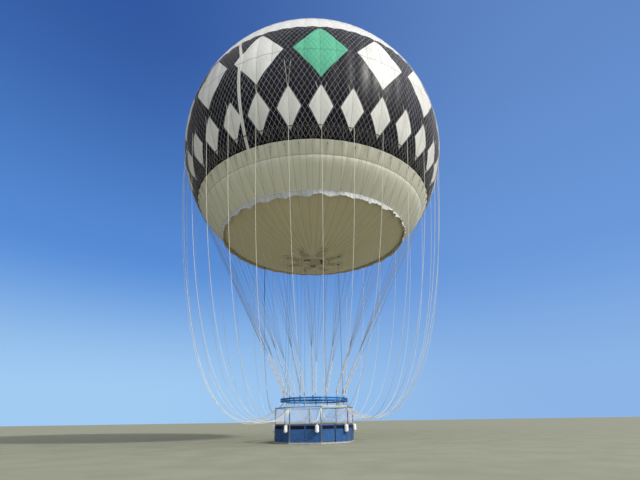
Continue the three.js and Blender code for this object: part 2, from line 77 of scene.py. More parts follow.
class Turn(Enum):
    """Whether a net cord climbs to the right or to the left."""

    RIGHT = 1
    LEFT = -1


# Places and small sums


def polar(azimuth: float, radius: float, z: float) -> Vector:
    """Point at an azimuth in degrees, a distance from the axis and a height."""
    angle = radians(azimuth)
    return Vector((radius * sin(angle), -radius * cos(angle), z))


def globe(azimuth: float, radius: float, latitude: float) -> Vector:
    """Point at an azimuth and a latitude in degrees, and a distance from the centre."""
    angle = radians(latitude)
    return polar(azimuth, radius * cos(angle), radius * sin(angle))


def ring_points(azimuths: Array, radius: Array, z: Array) -> Array:
    """The same as polar for arrays: one row of x, y, z for each azimuth."""
    angle = np.radians(azimuths)
    return np.stack(np.broadcast_arrays(radius * np.sin(angle), -radius * np.cos(angle), z), axis=-1)


def facing(azimuth: float) -> Matrix:
    """Turns +X to the right and -Y outwards at an azimuth."""
    return Matrix.Rotation(radians(azimuth), 4, "Z")


def slide(x: float, y: float, z: float) -> Matrix:
    """Shifts by a distance."""
    return Matrix.Translation((x, y, z))


def spot(azimuth: float, y: float, z: float) -> Matrix:
    """Shifts by a distance, then turns to an azimuth."""
    return facing(azimuth) @ slide(0, y, z)


def smooth_step(x: Array) -> Array:
    """Eased from 0 to 1."""
    t = np.clip(x, 0.0, 1.0)
    return t * t * (3 - 2 * t)


def ripple(x: Array, seed: int, waves: int = 5) -> Array:
    """Smooth, repeatable variation round a full turn.

    Args:
        x: Azimuths in degrees.
        seed: Picks one of many such curves.
        waves: How many sine waves are added up.

    Returns:
        Values from about -1 to 1, equal at 0 and 360 degrees.
    """
    random = np.random.default_rng(seed)
    turns = random.integers(3, 40, waves)
    phases = random.uniform(0, 2 * pi, waves)
    return sum(np.sin(np.radians(x) * n + p) for n, p in zip(turns, phases)) / sqrt(waves)


# Mesh making


def band(inner: float, outer: float, z: float, half: float, ease: float = 0.0) -> Profile:
    """Outline of a band round an axis, its outer edges eased."""
    return [(inner, z - half), (outer, z - half + ease), (outer, z + half - ease), (inner, z + half)]


class Shape:
    """Points and faces of one piece while it is being made."""

    def __init__(self) -> None:
        """Starts empty."""
        self.points: list[Array] = []
        self.faces: list[list[int]] = []
        self.slots: list[int] = []
        self.runs: list[Array] = []
        self.count = 0

    def add(self, points: Array, faces: list, slot: int = 0, run: Array | None = None) -> None:
        """Adds points and the faces between them.

        Args:
            points: Rows of x, y, z.
            faces: Lists of indices into these points.
            slot: Index of the piece's material.
            run: Rows of cosine, sine and distance along a rope.
        """
        rows = np.asarray(points, float).reshape(-1, 3)
        base = self.count
        self.points.append(rows)
        self.runs.append(np.zeros((len(rows), 3)) if run is None else run)
        self.faces.extend([base + i for i in face] for face in faces)
        self.slots.extend([slot] * len(faces))
        self.count += len(rows)

    def grid(self, points: Array, loop: bool = True, slot: int = 0, run: Array | None = None,
             caps: bool = False, closed: bool = False) -> None:
        """Adds a sheet of quads.

        Args:
            points: Array of rows, columns and x, y, z.
            loop: Joins the last column to the first.
            slot: Index of the piece's material.
            run: Rope coordinates of each point.
            caps: Closes the first and the last row.
            closed: Joins the last row to the first.
        """
        rows, columns = points.shape[:2]
        index = np.arange(rows * columns).reshape(rows, columns)
        down = np.roll(index, -1, axis=0) if closed else index[1:]
        here = index if closed else index[:-1]
        if loop:
            quads = np.stack([here, np.roll(here, -1, 1), np.roll(down, -1, 1), down], axis=-1)
        else:
            quads = np.stack([here[:, :-1], here[:, 1:], down[:, 1:], down[:, :-1]], axis=-1)
        faces = quads.reshape(-1, 4).tolist()
        if caps:
            faces += [index[0][::-1].tolist(), index[-1].tolist()]
        self.add(points, faces, slot, run)

    def tube(self, path: Sequence, radius: float | Sequence[float], sides: int = 8, slot: int = 0, closed: bool = False,
             place: Matrix | None = None) -> None:
        """Adds a round tube along a path.

        Args:
            path: Rows of x, y, z.
            radius: One radius, or one for each point.
            sides: Sides of the section.
            slot: Index of the piece's material.
            closed: Joins the path's end to its start.
            place: Where the path goes.
        """
        line = moved(np.asarray(path, float), place)
        radii = np.broadcast_to(np.asarray(radius, float), (len(line),))
        if closed:
            ahead = np.roll(line, -1, 0) - np.roll(line, 1, 0)
        else:
            ahead = np.gradient(line, axis=0)
        ahead /= np.linalg.norm(ahead, axis=1)[:, None]
        across = np.zeros_like(line)
        start = np.cross(ahead[0], (0, 0, 1) if abs(ahead[0][2]) < 0.9 else (1, 0, 0))
        side = start / np.linalg.norm(start)
        for i, direction in enumerate(ahead):
            side = side - direction * (side @ direction)
            side /= np.linalg.norm(side)
            across[i] = side
        other = np.cross(ahead, across)
        angle = np.linspace(0, 2 * pi, sides, endpoint=False)
        cosine, sine = np.cos(angle), np.sin(angle)
        ring = across[:, None] * cosine[None, :, None] + other[:, None] * sine[None, :, None]
        steps = np.linalg.norm(np.diff(line, axis=0), axis=1)
        along = np.concatenate([[0], np.cumsum(steps)])
        run = np.stack(np.broadcast_arrays(cosine[None], sine[None], along[:, None]), axis=-1).reshape(-1, 3)
        self.grid(line[:, None] + radii[:, None, None] * ring, slot=slot, run=run, caps=not closed, closed=closed)

    def lathe(self, profile: Profile, place: Matrix | None = None, segments: int = 24, slot: int = 0,
              hole: bool = False, first: float = 0.0) -> None:
        """Adds a turned body; a profile that ends on the axis is closed there.

        Args:
            profile: Pairs of radius and height, from the bottom up.
            place: Where the body goes.
            segments: Steps round the axis.
            slot: Index of the piece's material.
            hole: Takes the profile as a closed outline that clears the axis.
            first: Azimuth of the first corner.
        """
        angle = np.linspace(0, 2 * pi, segments, endpoint=False) + radians(first)
        turns = [(sin(a), -cos(a)) if hole else (cos(a), sin(a)) for a in angle]
        body = [(max(r, 1e-4), z) for r, z in profile]
        rings = np.array([[(r * x, r * y, z) for x, y in turns] for r, z in body])
        self.grid(moved(rings, place), slot=slot, caps=not hole, closed=hole)

    ring = partialmethod(lathe, hole=True)

    def block(self, low: Sequence[float], high: Sequence[float], place: Matrix | None = None, slot: int = 0,
              edge: float = 0.0) -> None:
        """Adds a box whose upright and level edges are cut back by a small chamfer.

        Args:
            low: Lowest corner.
            high: Highest corner.
            place: Where the box goes.
            slot: Index of the piece's material.
            edge: Width of the chamfer.
        """
        (x0, y0, z0), (x1, y1, z1) = low, high
        if edge <= 0:
            corners = [(x, y, z) for z in (z0, z1) for x, y in ((x0, y0), (x1, y0), (x1, y1), (x0, y1))]
            self.grid(moved(np.array(corners).reshape(2, 4, 3), place), slot=slot, caps=True)
            return
        e = min(edge, (x1 - x0) / 3, (y1 - y0) / 3, (z1 - z0) / 3)

        def outline(inset: float, z: float) -> list[tuple[float, float, float]]:
            """Corners of one level."""
            a, b = inset, inset + e
            return [(x0 + b, y0 + a, z), (x1 - b, y0 + a, z), (x1 - a, y0 + b, z), (x1 - a, y1 - b, z),
                    (x1 - b, y1 - a, z), (x0 + b, y1 - a, z), (x0 + a, y1 - b, z), (x0 + a, y0 + b, z)]

        rings = np.array([outline(e, z0), outline(0, z0 + e), outline(0, z1 - e), outline(e, z1)])
        self.grid(moved(rings, place), slot=slot, caps=True)

    def blob(self, centre: Sequence[float], radii: Sequence[float], place: Matrix | None = None, slot: int = 0,
             segments: int = 10) -> None:
        """Adds an ellipsoid.

        Args:
            centre: Its middle.
            radii: Half its width, depth and height.
            place: Where it goes.
            slot: Index of the piece's material.
            segments: Steps round it.
        """
        tilt = np.linspace(-pi / 2, pi / 2, max(4, segments // 2) + 1)
        angle = np.linspace(0, 2 * pi, segments, endpoint=False)
        flat = np.maximum(np.cos(tilt), 1e-3)
        rings = np.stack(np.broadcast_arrays(
            centre[0] + radii[0] * flat[:, None] * np.cos(angle)[None],
            centre[1] + radii[1] * flat[:, None] * np.sin(angle)[None],
            centre[2] + radii[2] * np.sin(tilt)[:, None]), axis=-1)
        self.grid(moved(rings, place), slot=slot, caps=True)

    def build(self, name: str, materials: Sequence[Material], sharp: float) -> Object:
        """Makes the object.

        Args:
            name: Its name.
            materials: One for each slot.
            sharp: Angle in degrees past which an edge stays sharp.

        Returns:
            The new object.
        """
        mesh = bpy.data.meshes.new(name)
        mesh.from_pydata(np.concatenate(self.points).tolist(), [], self.faces)
        for material in materials:
            mesh.materials.append(material)
        mesh.polygons.foreach_set("material_index", self.slots)
        run = mesh.attributes.new(RUN_ATTRIBUTE, "FLOAT_VECTOR", "POINT")
        run.data.foreach_set("vector", np.concatenate(self.runs).astype(np.float32).ravel())
        made = bpy.data.objects.new(name, mesh)
        bpy.context.scene.collection.objects.link(made)
        face_outwards(mesh)
        mesh.shade_smooth()
        mesh.set_sharp_from_angle(angle=radians(sharp))
        return made


def moved(points: Array, place: Matrix | None) -> Array:
    """Points turned and shifted by a matrix.

    Args:
        points: Rows of x, y, z.
        place: What moves them, if anything.

    Returns:
        The moved rows.
    """
    if place is None:
        return points
    matrix = np.array(place)
    return points @ matrix[:3, :3].T + matrix[:3, 3]


def face_outwards(mesh: Mesh) -> None:
    """Turns the faces of every closed body outwards.

    Args:
        mesh: The mesh to change.
    """
    work = bmesh.new()
    work.from_mesh(mesh)
    bmesh.ops.recalc_face_normals(work, faces=work.faces)
    work.to_mesh(mesh)
    work.free()


def sagging_line(start: Vector, end: Vector, low_z: float, count: int) -> Array:
    """Points of a rope that hangs between two points and reaches down to a given height.

    Args:
        start: Upper end.
        end: Lower end.
        low_z: Height of the lowest point.
        count: Number of points.

    Returns:
        Rows of x, y, z, evenly spaced along the rope.
    """
    span = (end - start).to_2d().length
    rise, fall = start.z - low_z, end.z - low_z

    def reach(a: float) -> float:
        """Span of a chain of this shape."""
        return a * (acosh(1 + rise / a) + acosh(1 + fall / a))

    short, long = 1e-3, 200.0
    for _ in range(80):
        middle = (short + long) / 2
        short, long = (middle, long) if reach(middle) < span else (short, middle)
    a = (short + long) / 2
    to_low = a * acosh(1 + rise / a)
    arc = np.linspace(-a * sinh(to_low / a), a * sinh((span - to_low) / a), count)
    level = a * np.arcsinh(arc / a)
    share = (level + to_low) / span
    plan = np.array(start)[None, :2] + share[:, None] * (np.array(end) - np.array(start))[None, :2]
    height = low_z + a * (np.cosh(level / a) - 1)
    return np.column_stack([plan, height])


# Shader helpers


class Graph:
    """Adds and links nodes in one node tree."""

    def __init__(self, tree: NodeTree) -> None:
        """Works on a tree."""
        self.tree = tree

    def feed(self, socket: Socket, value: Value) -> None:
        """Links a socket to another one, or sets its value; a colour comes without its alpha.

        Args:
            socket: The input.
            value: What it gets.
        """
        if isinstance(value, Socket):
            self.tree.links.new(value, socket)
        else:
            socket.default_value = (*value, 1.0) if socket.type == "RGBA" else value

    def node(self, kind: str, inputs: dict[str | int, Value] | None = None, **settings: object) -> Node:
        """Adds a node.

        Args:
            kind: Blender's name for it.
            inputs: What its inputs get, by name or place.
            **settings: Its properties.

        Returns:
            The new node.
        """
        made = self.tree.nodes.new(kind)
        for name, value in settings.items():
            setattr(made, name, value)
        for name, value in (inputs or {}).items():
            self.feed(made.inputs[name], value)
        return made

    def math(self, operation: str, *values: Value, clamp: bool = False) -> Socket:
        """A sum of values."""
        return self.node("ShaderNodeMath", dict(enumerate(values)), operation=operation, use_clamp=clamp).outputs[0]

    times = partialmethod(math, "MULTIPLY")
    plus = partialmethod(math, "ADD")
    minus = partialmethod(math, "SUBTRACT")
    size = partialmethod(math, "ABSOLUTE")

    def mix(self, share: Value, first: Value, second: Value) -> Socket:
        """Mixes two colours."""
        return self.node("ShaderNodeMix", {0: share, 6: first, 7: second}, data_type="RGBA").outputs[2]

    def spread(self, value: Value, low: Value, high: Value, to_low: float = 0.0, to_high: float = 1.0) -> Socket:
        """Maps a range smoothly on another one."""
        given = dict(enumerate((value, low, high, to_low, to_high)))
        return self.node("ShaderNodeMapRange", given, interpolation_type="SMOOTHSTEP").outputs[0]

    def scaled(self, vector: Value, scale: Value) -> Socket:
        """A vector times another one."""
        return self.node("ShaderNodeVectorMath", {0: vector, 1: scale}, operation="MULTIPLY").outputs[0]

    def noise(self, vector: Value, scale: Value, detail: float = 3.0, roughness: float = 0.55) -> Socket:
        """Noise from 0 to 1."""
        return self.node("ShaderNodeTexNoise", {
            "Vector": vector, "Scale": scale, "Detail": detail, "Roughness": roughness}).outputs["Fac"]

    def group(self, tree: NodeTree, inputs: dict[str, Value]) -> Node:
        """Places a node group."""
        return self.node("ShaderNodeGroup", inputs, node_tree=tree)

    def bump(self, height: Value, distance: float) -> Socket:
        """A normal from a height in metres."""
        return self.node("ShaderNodeBump", {"Height": height, "Distance": distance, "Strength": 1.0}).outputs["Normal"]

    def split(self, vector: Value) -> tuple[Socket, ...]:
        """The three parts of a vector."""
        return tuple(self.node("ShaderNodeSeparateXYZ", {"Vector": vector}).outputs)

    def polar(self, place: Value) -> tuple[Socket, Socket, Socket]:
        """Azimuth in radians, distance from the axis and height of a place."""
        x, y, z = self.split(place)
        return (self.math("ARCTAN2", x, self.times(y, -1.0)),
                self.math("SQRT", self.plus(self.times(x, x), self.times(y, y))), z)


def make_group(name: str, inputs: dict[str, float | None], outputs: Sequence[str],
               fill: Callable[..., Sequence[Socket]]) -> NodeTree:
    """Builds a shader node group.

    Args:
        name: The group's name.
        inputs: First value of each input, None for a vector.
        outputs: Names of the outputs, all of them plain values.
        fill: Makes the outputs from a graph and the inputs.

    Returns:
        The group.
    """
    tree = bpy.data.node_groups.new(name, "ShaderNodeTree")
    for label, value in inputs.items():
        kind = "NodeSocketVector" if value is None else "NodeSocketFloat"
        socket = tree.interface.new_socket(name=label, in_out="INPUT", socket_type=kind)
        if value is not None:
            socket.default_value = value
    for label in outputs:
        tree.interface.new_socket(name=label, in_out="OUTPUT", socket_type="NodeSocketFloat")
    g = Graph(tree)
    given, out = g.node("NodeGroupInput"), g.node("NodeGroupOutput")
    for label, value in zip(outputs, fill(g, *(given.outputs[label] for label in inputs))):
        g.feed(out.inputs[label], value)
    return tree


class Effects:
    """Shader node groups that several finishes share."""

    def __init__(self, gores: int, first_seam: float) -> None:
        """Builds the groups once.

        Args:
            gores: Number of gores.
            first_seam: Azimuth of one seam between two gores.
        """
        self.gores = gores
        self.first_seam = first_seam
        self.seams = make_group("gore_seams", {"Place": None, "Width": 0.04}, ["Seam"], self._seams)
        self.weave = make_group("cloth_weave", {"Place": None, "Threads": 160.0, "Rumple": 1.0}, ["Height", "Tint"],
                                self._weave)
        self.weather = make_group("weathering", {"Place": None, "Scale": 1.0}, ["Dust", "Streak"], self._weather)
        self.wear = make_group("edge_wear", {"Place": None, "Scale": 8.0, "Amount": 0.5}, ["Rubbed", "Scuff"],
                               self._wear)
        self.lay = make_group("rope_lay", {"Run": None, "Strands": 3.0, "Pitch": 0.12}, ["Height", "Groove"], self._lay)

    def _seams(self, g: Graph, place: Socket, width: Socket) -> Sequence[Socket]:
        """How near the nearest seam between two gores is.

        Args:
            g: The group's graph.
            place: Coordinates.
            width: Width of a seam.

        Returns:
            The seam's mask.
        """
        angle, out, _ = g.polar(place)
        turns = g.times(angle, self.gores / (2 * pi))
        within = g.math("FRACT", g.minus(turns, self.gores * self.first_seam / 360))
        from_middle = g.size(g.minus(within, 0.5))
        away = g.times(g.minus(0.5, from_middle), g.times(out, 2 * pi / self.gores))
        return [g.spread(away, g.times(width, 0.5), width, 1.0, 0.0)]

    @staticmethod
    def _weave(g: Graph, place: Socket, threads: Socket, rumple: Socket) -> Sequence[Socket]:
        """Crossing threads and slack little rumples of coated cloth.

        Args:
            g: The group's graph.
            place: Coordinates.
            threads: Scale of the threads.
            rumple: Depth of the folds.

        Returns:
            Height and tint.
        """
        warp, weft = (g.node("ShaderNodeTexWave", {"Vector": place, "Scale": threads},
                             bands_direction=way) for way in ("Z", "DIAGONAL"))
        cloth = g.times(g.plus(warp.outputs["Fac"], weft.outputs["Fac"]), 0.02)
        folds = g.noise(g.scaled(place, (1.0, 1.0, 0.55)), 1.3, 4.0, 0.6)
        soft = g.plus(folds, g.times(g.noise(place, 7.0, 3.0, 0.5), 0.35))
        tint = g.spread(g.noise(place, 0.45, 5.0, 0.6), 0.3, 0.7)
        return g.plus(cloth, g.times(soft, rumple)), tint

    @staticmethod
    def _weather(g: Graph, place: Socket, scale: Socket) -> Sequence[Socket]:
        """Dust in broad patches and in streaks that run down.

        Args:
            g: The group's graph.
            place: Coordinates.
            scale: Scale of the patches.

        Returns:
            Dust and streaks.
        """
        wide = g.node("ShaderNodeVectorMath", {0: place, "Scale": scale}, operation="SCALE").outputs[0]
        broad = g.noise(wide, 0.8, 6.0, 0.65)
        thin = g.noise(g.scaled(wide, (6.0, 6.0, 0.35)), 1.0, 4.0, 0.6)
        return g.spread(broad, 0.42, 0.75), g.spread(thin, 0.52, 0.8)

    @staticmethod
    def _wear(g: Graph, place: Socket, scale: Socket, amount: Socket) -> Sequence[Socket]:
        """Rubbed edges and scuffs of a painted or bare hard surface.

        Args:
            g: The group's graph.
            place: Coordinates.
            scale: Scale of the scuffs.
            amount: Share rubbed off.

        Returns:
            Rubbed edges and scuffs.
        """
        edge = g.spread(g.node("ShaderNodeNewGeometry").outputs["Pointiness"], 0.505, 0.56)
        breaks = g.noise(place, scale, 5.0, 0.65)
        rubbed = g.times(g.times(edge, g.spread(breaks, 0.35, 0.65)), amount, clamp=True)
        return rubbed, g.spread(breaks, 0.55, 0.8)

    @staticmethod
    def _lay(g: Graph, run: Socket, strands: Socket, pitch: Socket) -> Sequence[Socket]:
        """Strands of a laid rope, from its run attribute.

        Args:
            g: The group's graph.
            run: Rope coordinates.
            strands: Their number.
            pitch: Length of one turn.

        Returns:
            Height, and the grooves' mask, which takes painted shade.
        """
        cosine, sine, along = g.split(run)
        angle = g.times(g.math("ARCTAN2", sine, cosine), strands)
        turn = g.math("DIVIDE", g.times(along, 2 * pi), pitch)
        wave = g.size(g.math("SINE", g.plus(g.times(angle, 0.5), g.times(turn, 0.5))))
        return wave, g.spread(wave, 0.05, 0.45, 1.0, 0.0)


def start_material(name: str, **plain: float) -> tuple[Material, Graph, Node, Socket]:
    """Starts a material with a Principled shader.

    Args:
        name: The material's name.
        **plain: Values set on the shader's own sockets, with underscores for spaces in their names.

    Returns:
        The material, its graph, the shader node and the object's own coordinates.
    """
    material = bpy.data.materials.new(name)
    material.use_nodes = True
    graph = Graph(material.node_tree)
    shader = material.node_tree.nodes["Principled BSDF"]
    for label, value in plain.items():
        shader.inputs[label.replace("_", " ")].default_value = value
    return material, graph, shader, graph.node("ShaderNodeTexCoord").outputs["Object"]


@dataclass(frozen=True)
class Cloth:
    """Coated cloth of the envelope, cut in gores; where paint is given, it adds print on the band, a darker disc on the
    plate, and painted shade and highlights on the lower skin and the underside.
    """

    name: str
    colour: Colour
    stain: Colour
    seam: Colour
    seam_width: float = 0.035
    seam_strength: float = 0.6
    roughness: float = 0.5
    sheen: float = 0.2
    gloss: float = 0.4
    dirt: float = 1.0
    rumple: float = 0.012
    paint: Callable[[Graph, Socket, Value], Value] | None = None

    def material(self, effects: Effects) -> Material:
        """Builds the material.

        Args:
            effects: The shared node groups.

        Returns:
            The finished material.
        """
        material, g, shader, place = start_material(self.name, Sheen_Weight=self.sheen, Specular_IOR_Level=self.gloss)
        weave = g.group(effects.weave, {"Place": place}).outputs
        weather = g.group(effects.weather, {"Place": place, "Scale": 0.6}).outputs
        seam = g.group(effects.seams, {"Place": place, "Width": self.seam_width}).outputs["Seam"]
        colour: Value = self.colour if self.paint is None else self.paint(g, place, self.colour)
        for mask, share in ((weather["Dust"], 0.45), (weather["Streak"], 0.18), (weave["Tint"], 0.12)):
            colour = g.mix(g.times(mask, share * self.dirt), colour, self.stain)
        g.feed(shader.inputs["Base Color"], g.mix(g.times(seam, self.seam_strength), colour, self.seam))
        rough = g.spread(weave["Tint"], 0.0, 1.0, self.roughness - 0.06, self.roughness + 0.08)
        g.feed(shader.inputs["Roughness"], rough)
        height = g.plus(weave["Height"], g.times(seam, 0.35))
        g.feed(shader.inputs["Normal"], g.bump(height, self.rumple))
        return material


@dataclass(frozen=True)
class Painted:
    """Painted or moulded hard surface, rubbed at its edges."""

    name: str
    colour: Colour
    under: Colour
    roughness: float = 0.4
    metallic: float = 0.0
    coat: float = 0.0
    wear: float = 0.5
    grain: float = 30.0
    gloss: float = 0.5

    def material(self, effects: Effects) -> Material:
        """Builds the material.

        Args:
            effects: The shared node groups.

        Returns:
            The finished material.
        """
        material, g, shader, place = start_material(self.name, Metallic=self.metallic, Coat_Weight=self.coat,
                                                    Coat_Roughness=0.15, Specular_IOR_Level=self.gloss)
        wear = g.group(effects.wear, {"Place": place, "Scale": 9.0, "Amount": self.wear}).outputs
        weather = g.group(effects.weather, {"Place": place, "Scale": 2.5}).outputs
        colour = g.mix(g.times(weather["Dust"], 0.3), self.colour, self.under)
        colour = g.mix(g.times(weather["Streak"], 0.15), colour, self.under)
        g.feed(shader.inputs["Base Color"], g.mix(wear["Rubbed"], colour, self.under))
        rough = g.spread(wear["Scuff"], 0.0, 1.0, self.roughness, min(1.0, self.roughness + 0.22))
        g.feed(shader.inputs["Roughness"], rough)
        g.feed(shader.inputs["Normal"], g.bump(g.noise(place, self.grain, 2.0, 0.5), 0.002))
        return material


@dataclass(frozen=True)
class Rope:
    """Laid rope or cable."""

    name: str
    colour: Colour
    # Colour towards which the grooves between strands are darkened: painted shade, with dirt patches mixed in.
    groove: Colour
    strands: float = 3.0
    pitch: float = 0.14
    depth: float = 0.006
    roughness: float = 0.8
    metallic: float = 0.0

    def material(self, effects: Effects) -> Material:
        """Builds the material.

        Args:
            effects: The shared node groups.

        Returns:
            The finished material.
        """
        material, g, shader, place = start_material(self.name, Metallic=self.metallic)
        run = g.node("ShaderNodeAttribute", attribute_name=RUN_ATTRIBUTE).outputs["Vector"]
        lay = g.group(effects.lay, {"Run": run, "Strands": self.strands, "Pitch": self.pitch}).outputs
        fuzz = g.noise(place, 60.0, 3.0, 0.6)
        dirt = g.times(g.spread(g.noise(place, 1.2, 4.0, 0.6), 0.4, 0.75), 0.35)
        # Painted shade in the grooves between strands, plus dirt patches, both towards the groove colour.
        shade = g.plus(g.times(lay["Groove"], 0.45), dirt, clamp=True)
        g.feed(shader.inputs["Base Color"], g.mix(shade, self.colour, self.groove))
        g.feed(shader.inputs["Roughness"], g.spread(fuzz, 0.3, 0.7, self.roughness - 0.1, self.roughness + 0.1))
        g.feed(shader.inputs["Normal"], g.bump(g.plus(lay["Height"], g.times(fuzz, 0.2)), self.depth))
        return material


# The whole object's driving sizes


@dataclass(frozen=True)
class Layout:
    """Sizes that several sub-assemblies share, in metres and degrees."""

    radius: float = 11.0
    skin: float = 0.01
    gores: int = 64
    first_corner: float = 9.0
    sides: int = 8
    legs: int = 16
    crown_latitude: float = 17.0
    cream_latitude: float = -31.8
    ridge_latitude: float = -36.7
    skirt_latitude: float = -48.8
    underside_radius: float = 13.9
    port_radius: float = 1.2
    crown_port_radius: float = 0.6
    patch_radius: float = 2.12
    patch_turn: float = 0.25
    base_z: float = -22.9
    wall_apothem: float = 2.4
    ring_corner: float = 2.29
    knot_height: float = 3.08
    girdle_proud: float = 0.015
    upper_rail_height: float = 2.04
    lug_height: float = 2.69

    @property
    def side_angle(self) -> float:
        """Angle of one side of the gondola."""
        return 360 / self.sides

    @property
    def leg_angle(self) -> float:
        """Angle between two suspension legs."""
        return 360 / self.legs

    @property
    def corner_radius(self) -> float:
        """Distance of the gondola's posts from the axis."""
        return self.wall_apothem / cos(pi / self.sides)

    @property
    def rail_radius(self) -> float:
        """Distance from the axis at which a leg's line crosses the rails."""
        return self.wall_apothem / cos(radians(self.leg_angle / 2))

    @property
    def knot_radius(self) -> float:
        """Distance of the suspension knots from the axis."""
        ring_apothem = self.ring_corner * cos(pi / self.sides)
        return ring_apothem / cos(radians(self.leg_angle / 2))

    @property
    def knot_z(self) -> float:
        """Height of the suspension knots."""
        return self.base_z + self.knot_height

    @property
    def girdle_latitude(self) -> float:
        """Where straight ropes from the knots touch the envelope."""
        touch = acos((self.radius + self.girdle_proud) / hypot(self.knot_radius, self.knot_z))
        return degrees(atan2(self.knot_z, self.knot_radius) + touch)

    @property
    def skirt_radius(self) -> float:
        """Distance of the skirt line from the axis."""
        return self.radius * cos(radians(self.skirt_latitude))

    @property
    def skirt_z(self) -> float:
        """Height of the skirt line."""
        return self.radius * sin(radians(self.skirt_latitude))

    def cap_z(self, radius: float | Array) -> float | Array:
        """Height of the underside at a distance from the axis, on its own larger sphere."""
        centre = self.skirt_z + sqrt(self.underside_radius ** 2 - self.skirt_radius ** 2)
        return centre - np.sqrt(self.underside_radius ** 2 - np.square(radius))

    def side_azimuth(self, side: int) -> float:
        """Azimuth of the middle of one side."""
        return self.first_corner + self.side_angle * (side + 0.5)

    def corner_azimuth(self, corner: int) -> float:
        """Azimuth of one corner."""
        return self.first_corner + self.side_angle * corner

    def leg_azimuth(self, leg: int) -> float:
        """Azimuth of one suspension leg."""
        return self.first_corner + self.leg_angle * (leg + 0.5)

    def patch_azimuth(self, index: int) -> float:
        """Azimuth of one anchor patch."""
        return self.first_corner + self.side_angle * (index + self.patch_turn)

    def corner(self, index: int, radius: float, above: float) -> Vector:
        """A point over one corner, at a height above the base."""
        return polar(self.corner_azimuth(index), radius, self.base_z + above)


@dataclass
class Part:
    """A sub-assembly, with the shared sizes and the finishes."""

    layout: Layout
    palette: dict[str, Material]

    def piece(self, shape: Shape, name: str, *finishes: str, slot: str = "", body: Body = Body.ROOT,
              sharp: float = 38.0, node: str = "") -> Object:
        """Makes one piece, which is shown in place of a solid if it is that solid's fine form.

        Args:
            shape: Its points and faces.
            name: Its name, the solid's with _fine at its end.
            *finishes: One finish for each index of a face.
            slot: Not used; its material slot in the part, where the first finish has another name.
            body: The body that carries it.
            sharp: Angle in degrees past which an edge stays sharp.
            node: The solid's name where the piece's name is another one.

        Returns:
            The new object.
        """
        made = shape.build(name, [self.palette[finish] for finish in finishes], sharp)
        node = node or name.removesuffix("_fine")
        if node != name:
            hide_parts(node)
        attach(made, body.value)
        LOG.info("%s: %d faces on %s", name, len(made.data.polygons), body.value)
        return made


# Camera, light and floor


